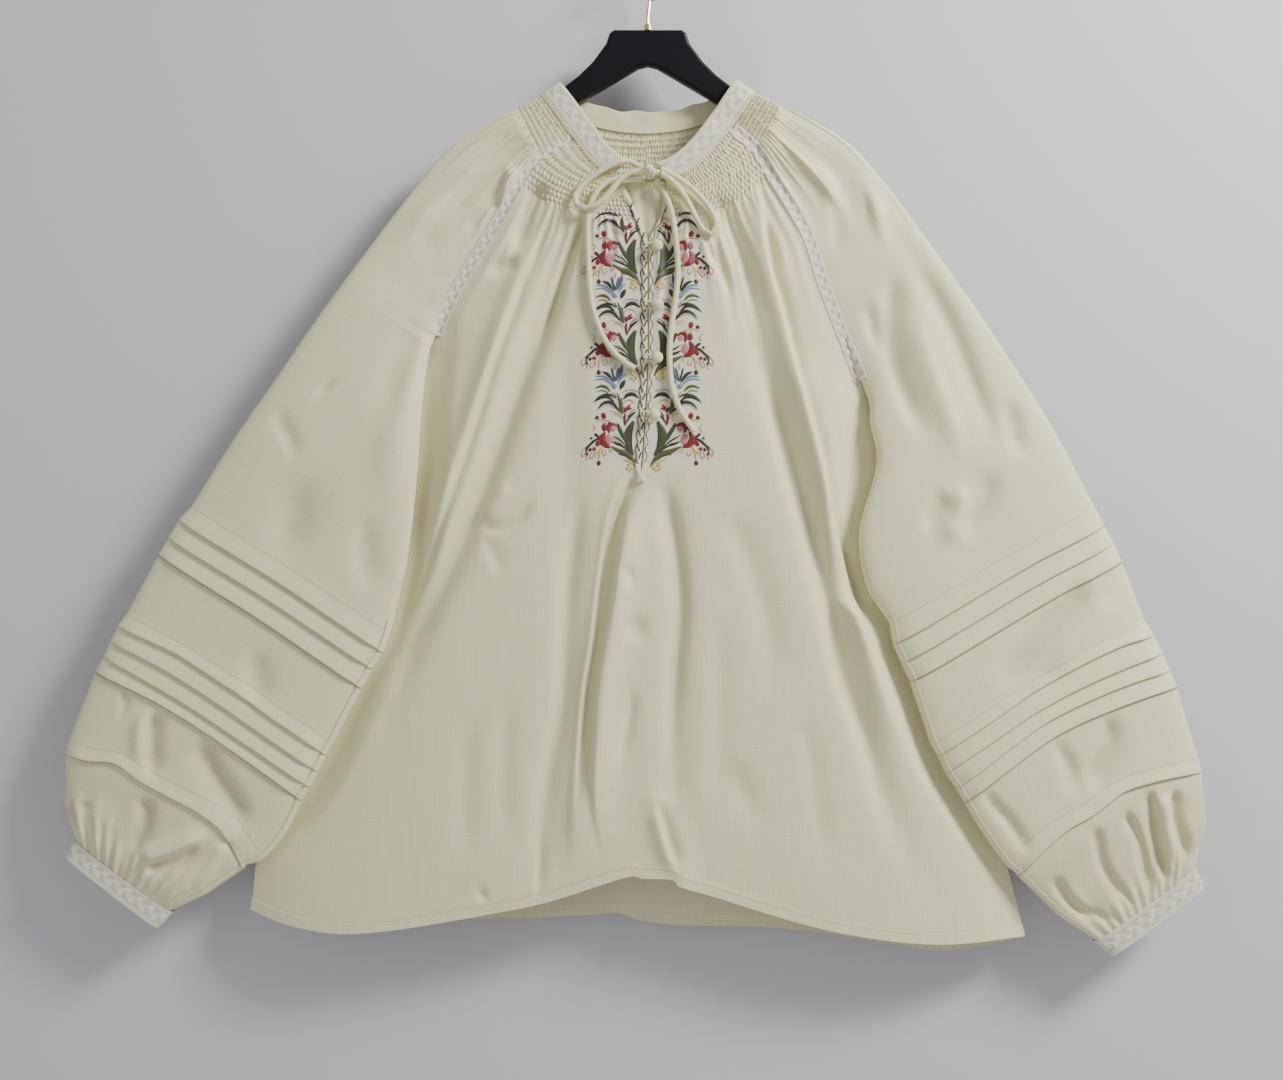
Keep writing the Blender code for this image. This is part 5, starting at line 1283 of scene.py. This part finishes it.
def make_sleeve(side, name, node, material):
    """A sleeve: smocked top, creases, tucks, and gathers into the cuff."""
    places, tucks = np.array(fine_rings()).T
    half = SLEEVE_FINE // 2
    shares = 0.5 * even_turns(half) + 0.5 * np.linspace(0, 1, half + 1)
    rows = np.array([sleeve_ring(side, ring, SLEEVE_FINE, shares) for ring in places])
    spread = np.concatenate([shares[::-1], shares[1:]])
    rows[..., 2] += tuck_waves(side, places, spread)
    x, z = rows[..., 0], rows[..., 2]
    fall = np.broadcast_to(places[:, None], x.shape)
    # Painted shadow lines just below each tuck's edge
    seam = np.zeros(x.shape)
    for edge in TUCK_EDGE_RINGS:
        seam += np.where((places > edge + 0.001) & (places < edge + 0.03), 0.9, 0.0)[:, None]
    out, fold_shade = sleeve_relief(side, spread, fall, tucks, x, z)
    rows[..., 1] += out
    travel = travel_of(rows[:, half])
    width = np.linalg.norm(rows[:, 0] - rows[:, half], axis=1)
    turn = np.concatenate([-shares[::-1], shares[1:]])
    cloth = grid_piece(name, rows, material, (width[:, None] * turn, travel[:, None]),
                       {"fold_shade": fold_shade, "seam": seam})
    stitched = [np.argmin(np.abs(places - ring)) for ring in TUCK_STITCH_RINGS]
    lines = [rows[row, 8:half - 7][:, [0, 2]] for row in stitched]
    lower = places > UNDERARM_RING
    make_underarm_seam(name.replace("cloth", "seam"), rows[lower], places[lower], material)
    settle(cloth, "cloth", *[node + "_" + word for word in SLEEVE_NODES])
    return cloth, lines


def curve_piece(name, points, diameter, material, resolution=4):
    """A round cord along points in millimetres."""
    curve = bpy.data.curves.new(name, "CURVE")
    curve.dimensions = "3D"
    curve.bevel_depth = diameter / 2 * MM
    curve.bevel_resolution = resolution
    curve.use_fill_caps = True
    spline = curve.splines.new("POLY")
    spline.points.add(len(points) - 1)
    for point, at in zip(spline.points, points):
        point.co = (at[0] * MM, at[1] * MM, at[2] * MM, 1.0)
    curve.materials.append(material)
    return placed(name, curve)


class ClothFinder:
    """Finds the outer face of the cloth in front of or behind the wall of a piece."""

    def __init__(self, things, towards):
        self.towards = towards
        self.trees = []
        for thing in things:
            mesh = thing.data
            corners = [vertex.co.copy() for vertex in mesh.vertices]
            faces = [tuple(face.vertices) for face in mesh.polygons]
            self.trees.append(BVHTree.FromPolygons(corners, faces))

    def y_at(self, x, z, spare=None):
        """The y of the cloth at x, z in millimetres, or spare where there is none."""
        start = Vector((x * MM, -0.3 * self.towards, z * MM))
        found = []
        for tree in self.trees:
            hit = tree.ray_cast(start, Vector((0, self.towards, 0)))[0]
            if hit is not None:
                found.append(hit.y / MM)
        if not found:
            return spare
        return min(found) if self.towards > 0 else max(found)


class Stitchery:
    """Raised strokes of thread or lace gathered into one mesh, a material for each colour."""

    def __init__(self):
        self.points, self.faces, self.kinds, self.uv = [], [], [], []

    def stroke(self, path, widths, kind, finder, lift=0.15, height=0.5, spare=None):
        """A domed ribbon along x, z points, resting on the cloth."""
        path = np.asarray(path, float)
        way = np.gradient(path, axis=0)
        way /= np.maximum(np.linalg.norm(way, axis=1), 1e-6)[:, None]
        across = np.column_stack([-way[:, 1], way[:, 0]])
        travel = travel_of(path)
        first = len(self.points)
        profile = ((-0.5, 0.0), (-0.33, 0.75), (0.0, 1.0), (0.33, 0.75), (0.5, 0.0))
        for middle, side, width, far in zip(path, across, widths, travel):
            for offset, dome in profile:
                x, z = middle + side * width * offset
                y = finder.y_at(x, z, front_surface(x, z) if spare is None else spare)
                spare = y
                rise = lift + dome * min(height, 0.35 * width + 0.12)
                self.points.append((x * MM, (y - rise * finder.towards) * MM, z * MM))
                self.uv.append((offset * width * MM, far * MM))
        wide = len(profile)
        for row in range(len(path) - 1):
            for column in range(wide - 1):
                a = first + row * wide + column
                self.faces.append((a, a + 1, a + wide + 1, a + wide))
                self.kinds.append(kind)

    def piece(self, name, materials):
        """The mesh of all the strokes."""
        used = sorted(set(self.kinds))
        mesh = bpy.data.meshes.new(name)
        mesh.from_pydata(self.points, [], self.faces)
        for kind in used:
            mesh.materials.append(materials[kind])
        order = {kind: place for place, kind in enumerate(used)}
        mesh.polygons.foreach_set("material_index", [order[kind] for kind in self.kinds])
        layer = mesh.uv_layers.new(name="UVMap")
        corners = np.zeros(len(mesh.loops), int)
        mesh.loops.foreach_get("vertex_index", corners)
        layer.data.foreach_set("uv", np.array(self.uv)[corners].ravel())
        mesh.shade_smooth()
        return placed(name, mesh)


def taper(count, shape):
    """Widths along a stroke: a leaf, a bud or a plain stem."""
    t = np.linspace(0, 1, count)
    if shape == "leaf":
        return np.sin(pi * np.clip(t * 0.92 + 0.04, 0, 1)) ** 0.75
    if shape == "bud":
        return np.sqrt(np.clip(1 - (2 * t - 1) ** 2, 0.02, 1))
    return 0.35 + 0.65 * np.minimum(np.minimum(t, 1 - t) * 6, 1.0)


def embroider(finder):
    """The flower sprays on both sides of the slit."""
    work = Stitchery()
    for side in (-1, 1):
        for repeat in range(REPEATS):
            top = MOTIF_TOP - repeat * MOTIF_PITCH
            for left_out, kind, shape, width, line in MOTIF:
                if repeat == REPEATS - 1 and left_out:
                    continue
                path = smooth_path(line, 3 if len(line) > 2 else 6)
                x = side * (-path[:, 0]) + MOTIF_MIDDLE
                z = path[:, 1] + top
                lean = np.interp(-z, [350.0, 400.0, 444.0], [0.0, 2.2, 5.2])
                near = np.clip(1 - np.abs(path[:, 0]) / 40.0, 0, 1)
                x = x - lean * near * (1.0 if side < 0 else 0.9)
                widths = np.maximum(width * FULLNESS[shape] * taper(len(path), shape), 0.35)
                work.stroke(np.column_stack([x, z]), widths, kind, finder)
    trim_slit(work, finder)
    materials = {kind: thread_material("thread_" + kind, colour) for kind, colour in THREADS.items()}
    settle(work.piece("embroidery", materials), "thread")


def trim_slit(work, finder):
    """The stitches beside the slit: a rope of knots on its left, a wavy line on its right."""
    heights = np.arange(TRIM_TOP_Z, TRIM_LOW_Z, -TRIM_STEP)
    wave = 0.9 * np.sin(2 * pi * heights / BORDER_PITCH)
    for side, off in ((-1, -5.2), (1, 2.7)):
        line = np.array([slit_x(side, z) for z in heights]) + off + wave
        work.stroke(np.column_stack([line, heights]), np.full(len(heights), 0.75), "black", finder)
    for index, z in enumerate(np.arange(TRIM_TOP_Z - 1.0, TRIM_LOW_Z + 3.0, -BORDER_PITCH / 2)):
        foot = slit_x(-1, z) - (3.4 if index % 2 else 1.6)
        for step in range(4):
            across = foot + (1.0 if index % 2 else -1.0) * (0.55 * step - 0.9)
            low = z - 1.4 * step
            spot = [(across - 0.6, low + 0.25), (across, low), (across + 0.6, low - 0.25)]
            work.stroke(spot, np.array([0.9, 1.7, 0.9]), "black", finder)


def running_stitches(work, path, finder):
    """A row of short stitches along a line."""
    travel = travel_of(path)
    for start in np.arange(0.5, travel[-1] - STITCH_LENGTH, STITCH_PITCH):
        spots = points_at(path, travel, np.linspace(start, start + STITCH_LENGTH, 3))
        work.stroke(spots, np.array([0.45, 0.6, 0.45]), "seam", finder, 0.05, 0.25)


def sew_hems(front, back, lines):
    """The stitches of the hems and of the tucks."""
    threads = {"seam": thread_material("thread_sewing", THREADS["seam"])}
    across = np.linspace(*HEM_STITCHED, 160)
    for name, hem, finder, others in (("sewing_front", FRONT_HEM, front, lines),
                                      ("sewing_back", BACK_HEM, back, [])):
        work = Stitchery()
        hem_stitches = np.column_stack([across, column_at(hem, 0, 1, across) + HEM_DEPTH - 1.0])
        for line in [*others, hem_stitches]:
            running_stitches(work, line, finder)
        settle(work.piece(name, threads), "thread")


def make_underlap(material):
    """The cloth that shows in the opening above the slit, in upright pleats."""
    columns = np.linspace(0, 1, 91)
    rows = np.linspace(0, 1, 40)
    left, right = UNDERLAP[0]
    top, low = UNDERLAP[1]
    x = left + (right - left) * columns
    points = np.zeros((len(rows), len(columns), 3))
    raised = 0.8 * np.cos(2 * pi * UNDERLAP_PLEATS * columns + 0.6 * np.sin(5 * columns))
    for index, drop in enumerate(rows):
        z = top + (low - top) * drop
        narrow = 1.0 - 0.55 * drop
        points[index, :, 0] = 2.0 + (x - 2.0) * narrow
        points[index, :, 1] = [front_surface(at, z) + 3.2 for at in points[index, :, 0]]
        points[index, :, 1] -= raised * (1 - 0.5 * drop)
        points[index, :, 2] = z
    # Painted shade in the valleys between the pleats
    fold_shade = np.broadcast_to(0.55 * smoothstep((0.3 - raised) / 1.2), points.shape[:2])
    lap = grid_piece("neck_underlap", points, material, (points[..., 0], points[..., 2]),
                     {"fold_shade": fold_shade})
    return settle(lap, "cloth")


def lace_relief(along, across, pitch, width):
    """Heights of a lace braid: a meandering vine with leaves, beaded edges and small holes."""
    middle = 0.5 + 0.14 * np.sin(2 * pi * along / pitch)
    vine = np.exp(-((across - middle) * width / 0.75) ** 2)
    cell = np.mod(along / pitch + 0.25, 0.5) - 0.25
    upper = np.mod(np.floor((along / pitch + 0.25) * 2), 2) > 0
    seat = np.where(upper, 0.32, 0.68)
    leaf = np.exp(-(cell * pitch / 1.6) ** 2 - ((across - seat) * width / 1.3) ** 2)
    edges = sum(np.exp(-((across - place) * width / 0.6) ** 2) for place in (0.06, 0.94))
    beads = 0.6 + 0.4 * np.cos(2 * pi * along / 1.9)
    holes = np.exp(-((across - 1 + seat) * width) ** 2) * (0.5 - 0.5 * np.cos(2 * pi * along / 2.3))
    return 0.75 * vine + 0.85 * leaf + 0.55 * edges * beads - 0.9 * holes


def make_raglan_lace(side, name, node, finder, material):
    """Lace laid over the raglan seam in front, following the cloth under it."""
    rings = np.linspace(*RAGLAN_LACE_RINGS, 340)
    seam = np.array([ring_values(side, ring)[2:4] for ring in rings])
    way = np.gradient(seam, axis=0)
    way /= np.linalg.norm(way, axis=1)[:, None]
    across = np.column_stack([-way[:, 1], way[:, 0]])
    across *= np.where(across[:, :1] * side > 0, 1.0, -1.0)
    travel = travel_of(seam)
    shares = np.linspace(0, 1, 19)
    points = np.zeros((len(rings), len(shares), 3))
    edges = np.where(shares > 0.97, 1, 0) - np.where(shares < 0.03, 1, 0)
    scallop = 0.35 * np.abs(np.sin(pi * travel / 3.8))[:, None] * edges
    offset = (shares - 0.5) * RAGLAN_LACE_WIDTH + scallop
    points[..., [0, 2]] = seam[:, None] + across[:, None] * offset[..., None]
    relief = lace_relief(travel[:, None], shares, 10.5, RAGLAN_LACE_WIDTH)
    spare = -15.0
    for row in range(len(rings)):
        for column in range(len(shares)):
            spare = finder.y_at(points[row, column, 0], points[row, column, 2], spare)
            points[row, column, 1] = spare
    smooth = points[..., 1].copy()
    for _ in range(4):
        smooth[1:-1] = (smooth[:-2] + smooth[1:-1] * 2 + smooth[2:]) / 4
        smooth[:, 1:-1] = (smooth[:, :-2] + smooth[:, 1:-1] * 2 + smooth[:, 2:]) / 4
    rim = np.minimum(shares, 1 - shares) * RAGLAN_LACE_WIDTH
    rise = 0.25 + 0.5 * smoothstep(rim / 0.8) + 0.45 * relief
    points[..., 1] = np.minimum(points[..., 1], smooth) - rise
    lace = grid_piece(name, points, material, (shares * RAGLAN_LACE_WIDTH, travel[:, None]),
                      {"relief": relief})
    return settle(lace, "lace", node)


def seam_line(side):
    """Points of half the neck seam, from its front end to the centre of the back."""
    shares = np.linspace(0, 1, FRONT_HALF_COLUMNS + 1)
    front = panel_grid(side, FRONT_SEAM, shares, np.zeros(1), FRONT_NECK[side], FRONT_HEM,
                       lambda z: slit_x(side, z), front_depth)[0]
    front = front[np.abs(front[:, 0]) > COLLAR_START[side]]
    shares = np.linspace(0, 1, BACK_HALF_COLUMNS + 1)
    back = panel_grid(side, BACK_SEAM, shares, np.zeros(1), BACK_NECK, BACK_HEM,
                      lambda z: 0.0, back_depth)[0][::-1]
    return np.vstack([front[:-1], sleeve_ring(side, 0.0)[1:-1], back])


def collar_frame(side, count):
    """Half the neck seam, evenly spaced, its directions up the band and out, and its travel."""
    seam = seam_line(side)
    travel = travel_of(seam)
    steps = np.arange(COLLAR_STEPS + 1)
    coarse = steps / COLLAR_STEPS * travel[-1]
    line = points_at(seam, travel, coarse)
    angles = np.radians(np.interp(coarse / travel[-1], *zip(*BAND_ANGLES)))
    up = np.column_stack([-side * np.cos(angles), np.zeros(len(line)), np.sin(angles)])
    out = side * np.cross(np.gradient(line, axis=0), up)
    out /= np.linalg.norm(out, axis=1)[:, None]
    fine = np.linspace(0, COLLAR_STEPS, count)
    along = np.linspace(0, travel[-1], count)
    return [points_at(part, steps, fine) for part in (line, up, out)] + [along]


def collar_rows(shares, count, lifts):
    """Points of the band, left end to right end, each with its lift, and the distance along it.

    Each half has count points, and the two halves share the one at the centre of the back.
    """
    lifts = np.broadcast_to(lifts, (len(shares), 2 * count - 1))
    frames = [collar_frame(side, count) for side in (-1, 1)]
    rows = []
    for share, rise in zip(shares, lifts):
        reach = SEAM_GAP + BAND_SEAT + BAND_DEPTH * share
        rises = (rise[:count], rise[:count - 2:-1])
        left, right = (line + up * reach + out * part[:, None]
                       for (line, up, out, _), part in zip(frames, rises))
        rows.append(np.vstack([left[:-1], (left[-1] + right[-1]) / 2, right[:-1][::-1]]))
    left, right = frames[0][3], frames[1][3]
    return np.array(rows), np.concatenate([left, left[-1] + right[-1] - right[:-1][::-1]])


def make_collar(cloth, lace):
    """The stand collar with its lace, and the double cord along its lower seam."""
    shares = np.linspace(0, 1, 13)
    tops = np.concatenate([shares, shares[::-1]])[:, None]
    faces = np.repeat([0.0, 1.5], len(shares))[:, None]
    rows, along = collar_rows(tops[:, 0], 180, faces)
    back = np.exp(-((along - along[-1] / 2) / 60.0) ** 2)
    wave = 0.9 * np.sin(along / 4.3) + 0.7 * np.sin(along / 7.9 + 1.0)
    rows[..., 2] += back * wave * smoothstep((tops - 0.5) * 2)
    rows[..., 1] += back * 0.8 * np.cos(along / 5.1) * smoothstep((tops - 0.4) * 2)
    band = grid_piece("collar_cloth", rows, cloth, (along, tops * BAND_DEPTH))
    settle(band, "cloth", "collar_band")
    shares = np.linspace(0.05, 0.97, 21)
    _, along = collar_rows(shares, 520, 0.0)
    across = ((shares - 0.05) / 0.92)[:, None]
    relief = lace_relief(along, across, 13.0, BAND_DEPTH * 0.92)
    lifts = 2.0 + np.where((across < 0.01) | (across > 0.99), -0.9, relief * 0.5)
    rows, along = collar_rows(shares, 520, lifts)
    strip = grid_piece("collar_lace_strip", rows, lace, (across * BAND_DEPTH, along),
                       {"relief": relief})
    settle(strip, "lace", "collar_lace")
    for index, (share, lift) in enumerate(((0.0, 1.9), (-0.07, 1.6)), 1):
        rows, _ = collar_rows([share], 160, lift)
        cord = curve_piece(f"collar_piping_{index}", rows[0], 1.3, cloth, 3)
        settle(cord, "cloth")


def fine_cuff(side, drop, lift, count):
    """A ring of a cuff, drop of the way down it and moved out by lift, count faces across."""
    top = np.array(SLEEVE_RINGS[side][-1], float)
    low = np.array(CUFF_LOWER[side], float)
    outer, inner = ((top[0:4] + (low - top[0:4]) * drop).reshape(2, 2))
    along = (inner - outer) / np.linalg.norm(inner - outer)
    outer, inner = outer - along * lift, inner + along * lift
    shares = 0.35 * even_turns(count) + 0.65 * np.linspace(0, 1, count + 1)
    x, z = (outer + (inner - outer) * shares[:, None]).T
    middle = top[8] + (top[9] - top[8]) * shares
    deep = (top[6] + lift) * rounded(shares)
    front, rear = np.column_stack([x, middle - deep, z]), np.column_stack([x, middle + deep, z])
    return np.vstack([front[::-1], rear[1:]])


def make_cuff(side, word, cloth, lace):
    """A cuff of cloth, turned in at its lower edge, with lace over it."""
    drops = [(0.0, 0.2), (0.04, 0.9), (0.5, 1.2), (0.97, 1.2), (1.0, 0.9), (0.99, 0.1), (0.5, 0.0)]
    rows = np.array([fine_cuff(side, drop, lift, 60) for drop, lift in drops])
    band = grid_piece(f"cuff_{word}_cloth", rows, cloth, (rows[..., 0], rows[..., 2]))
    settle(band, "cloth", f"cuff_{word}")
    shares = np.linspace(0, 1, 17)[:, None]
    base = np.array([fine_cuff(side, 0.02 + 1.03 * share, 1.6, 170) for share in shares[:, 0]])
    travel = travel_of(base[8])
    down = np.array(CUFF_LOWER[side][:2]) - np.array(SLEEVE_RINGS[side][-1][:2])
    depth = np.linalg.norm(down)
    relief = lace_relief(travel, shares, 12.0, depth)
    normal = fine_cuff(side, 0.5, 2.6, 170) - fine_cuff(side, 0.5, 1.6, 170)
    normal /= np.maximum(np.linalg.norm(normal, axis=1), 1e-6)[:, None]
    wander = 0.35 * np.sin(travel / 6.3) + 0.3 * np.sin(travel / 2.7 + 2)
    rows = base + normal * (0.45 * relief + 0.35 * wander)[..., None]
    ragged = np.where(shares > 0.97, 0.5, 0.0) * np.abs(np.sin(pi * travel / 3.4))
    rows[..., [0, 2]] += ragged[..., None] * down / depth
    strip = grid_piece(f"cuff_lace_{word}_strip", rows, lace, (travel, shares * depth),
                       {"relief": relief})
    settle(strip, "lace", f"cuff_lace_{word}")


def make_bindings(finder, cloth):
    """The rolled binding on both edges of the slit."""
    edges = []
    for side, word in SIDES:
        width = BINDING_WIDTHS[side]
        heights = np.linspace(BINDING_TOP_Z, SLIT_BOTTOM_Z + 0.5, 120)
        angles = np.radians(np.linspace(-20, 200, 9))
        points = np.zeros((len(heights), len(angles), 3))
        spare = -19.0
        for row, z in enumerate(heights):
            edge = slit_x(side, z) + side * (0.15 + width / 2)
            spare = finder.y_at(edge + side * width / 2, z, spare)
            height = 1.1 + 0.1 * sin(z / 2.1)
            points[row, :, 0] = edge + width / 2 * np.cos(angles)
            points[row, :, 1] = spare + 0.3 - height * np.sin(angles)
            points[row, :, 2] = z
        strip = grid_piece(f"slit_edge_{word}", points, cloth, (points[..., 0], points[..., 2]))
        settle(strip, "cloth", f"slit_binding_{word}")
        edges.append(strip)
    return edges


def fold_slit_end(finder, cloth):
    """The ends of the two bindings, folded over each other under the slit."""
    work = Stitchery()
    for line in ([(-9.6, -437.0), (-8.4, -443.0), (-6.0, -448.5), (-3.2, -452.5)],
                 [(-2.6, -436.0), (-4.0, -442.5), (-6.8, -449.0), (-9.6, -453.5)]):
        path = smooth_path(line, 5)
        work.stroke(path, 5.2 * taper(len(path), "bud") ** 0.5, "cloth", finder, 0.5, 1.5)
    settle(work.piece("slit_end_fold", {"cloth": cloth}), "cloth")


def make_buttons(cloth):
    """Cloth-covered ball buttons with a fold across each, and their cord loops."""
    for index, (x, z) in enumerate(BUTTON_PLACES, 1):
        y = loop_y(x, z)
        bpy.ops.mesh.primitive_uv_sphere_add(segments=40, ring_count=24, radius=0.5)
        ball = bpy.context.object
        ball.name = f"button_{index}_ball"
        size = np.array([BUTTON_DIAMETER, BUTTON_DEPTH, BUTTON_DIAMETER])
        centre = np.array([x, y - LOOP_DIAMETER / 2 - TRIM_LIFT - BUTTON_DEPTH / 2, z])
        turn = 0.6 * index
        for vertex in ball.data.vertices:
            a, b, c = vertex.co * 2
            across = a * cos(turn) + c * sin(turn) - 0.25 * b
            ridge = np.exp(-((across - 0.35) / 0.12) ** 2) - np.exp(-((across - 0.58) / 0.10) ** 2)
            vertex.co = (np.array([a, b, c]) * (1 + 0.05 * ridge) / 2 * size + centre) * MM
        ball.data.shade_smooth()
        ball.data.materials.append(cloth)
        settle(ball, "cloth", f"button_{index}")
        start = slit_x(-1, z) - 3.0
        tall, wide = LOOP_HALF_WIDTH + 0.6, LOOP_HALF_WIDTH + 1.2
        bend = [(x + wide * cos(angle), y, z + tall * sin(angle))
                for angle in (radians(90 - step * 22.5) for step in range(9))]
        points = [(start, y + 0.4, z + tall), (start + 2.5, y, z + tall - 0.3), *bend,
                  (start + 2.5, y, z - tall + 0.3), (start, y + 0.4, z - tall)]
        loop = curve_piece(f"button_loop_{index}_cord", smooth_path(points, 4), LOOP_DIAMETER,
                           cloth, 3)
        settle(loop, "cloth", f"button_loop_{index}")


def loop_y(x, z):
    """The y of the middle of a button's loop, over the slit's bindings."""
    return front_surface(x, z) - 2.2 - 0.8 * float(smoothstep((z + 300) / 50)) - LOOP_DIAMETER / 2


def make_knot(cloth):
    """The wrap of the bow's knot."""
    x, z = KNOT_PLACE
    y = front_surface(x, z) - TIE_CLEARANCE - KNOT_DEPTH / 2
    points = []
    for step in range(61):
        turn = 2 * pi * step / 30
        drift = (step / 60 - 0.5) * 5.0
        points.append((x + drift + 1.2 * sin(turn / 2), y - 4.4 * cos(turn),
                       z + 3.6 * sin(turn) - 0.15 * drift))
    wrap = curve_piece("tie_knot_wrap", points, 4.6, cloth)
    middle = [(x - 8, y, z + 2.0), (x - 3, y, z + 0.6), (x + 3, y, z), (x + 7.5, y, z - 1.5)]
    core = curve_piece("tie_knot_core", middle, 5.0, cloth)
    settle(wrap, "cloth", "tie_knot")
    settle(core, "cloth")


def make_ties(material):
    """The two loops and the two ends of the bow, each one length of tubular cord."""
    for node, route in TIE_ROUTES.items():
        points = tie_points(route)
        cord = curve_piece(node + "_cord", points, TIE_DIAMETER, material)
        settle(cord, "cloth", node)


def make_stage():
    """A pale wall close behind the blouse, a pale floor, soft lights and the camera."""
    scene = bpy.context.scene
    wall_material, tree, shader = new_material("wall")
    shader.inputs["Base Color"].default_value = (*WALL_COLOUR, 1)
    shader.inputs["Roughness"].default_value = 0.9
    geometry = add_node(tree, "ShaderNodeNewGeometry")
    clear = add_node(tree, "ShaderNodeBsdfTransparent")
    mix = add_node(tree, "ShaderNodeMixShader")
    link(tree, geometry, "Backfacing", mix, 0)
    link(tree, shader, "BSDF", mix, 1)
    link(tree, clear, "BSDF", mix, 2)
    link(tree, mix, "Shader", tree.nodes["Material Output"], "Surface")
    bpy.ops.mesh.primitive_plane_add(size=1.0, location=(0, WALL_Y * MM, WALL_MIDDLE_Z),
                                     rotation=(radians(90), 0, 0))
    wall = bpy.context.object
    wall.name = "stage_wall"
    wall.scale = WALL_SIZE
    wall.data.materials.append(wall_material)
    bpy.ops.mesh.primitive_plane_add(size=FLOOR_SIZE, location=(0, 0, FLOOR_Z))
    floor = bpy.context.object
    floor.name = "stage_floor"
    floor.data.materials.append(plain_material("floor", FLOOR_COLOUR, 0.9))
    for name, place, size, power, aim in LIGHTS:
        light = bpy.data.lights.new(name, "AREA")
        light.shape = "RECTANGLE"
        light.size, light.size_y = size
        light.energy = power
        lamp = placed(name, light)
        lamp.location = place
        lamp.rotation_mode = "QUATERNION"
        lamp.rotation_quaternion = (Vector(aim) - Vector(place)).to_track_quat("-Z", "Y")
    world = bpy.data.worlds.new("soft_sky")
    world.use_nodes = True
    sky = world.node_tree.nodes["Background"]
    sky.inputs["Color"].default_value = (*SKY_COLOUR, 1)
    sky.inputs["Strength"].default_value = SKY_STRENGTH
    scene.world = world
    camera = bpy.data.cameras.new("camera")
    camera.lens = CAMERA_LENS
    camera.sensor_width = 36.0
    viewer = placed("camera", camera)
    viewer.location = CAMERA_PLACE
    viewer.rotation_euler = (radians(90), 0, 0)
    scene.camera = viewer


def main():
    """Dress the blouse and its hanger."""
    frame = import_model()
    make_stage()
    cloth = cloth_material("cream_cloth", CLOTH_COLOUR, CLOTH_SHADE)
    lace = lace_material()
    make_ties(cloth)
    make_knot(cloth)
    front = make_front(cloth)
    back = make_back(cloth)
    make_underlap(cloth)
    sleeves = [make_sleeve(side, f"sleeve_{word}_cloth", f"sleeve_{word}", cloth)
               for side, word in SIDES]
    worn = ClothFinder([front] + [sleeve for sleeve, lines in sleeves], 1)
    make_collar(cloth, lace)
    for side, word in SIDES:
        make_cuff(side, word, cloth, lace)
        make_raglan_lace(side, f"raglan_lace_{word}_strip", f"raglan_lace_{word}", worn, lace)
    edges = make_bindings(ClothFinder([front], 1), cloth)
    make_buttons(cloth)
    embroider(ClothFinder([front] + edges, 1))
    sew_hems(worn, ClothFinder([back], -1), [line for sleeve, lines in sleeves for line in lines])
    fold_slit_end(ClothFinder([front], 1), cloth)
    finish_nodes(frame, cloth)


def finish_nodes(frame, cloth):
    """Give the pieces that stay as they are their finishes."""
    wood = plain_material("black_wood", WOOD_COLOUR, 0.45, gloss=0.22)
    gold = plain_material("gold_wire", GOLD_COLOUR, 0.3, 1.0)
    lace = cloth_material("lace", INNER_LACE_COLOUR, INNER_LACE_SHADE)
    for name, node in frame["nodes"].items():
        material = cloth
        if name == "hanger_body":
            material = wood
        elif name.startswith("hanger"):
            material = gold
        elif "lace" in name:
            material = lace
        node.data.materials.clear()
        node.data.materials.append(material)


main()
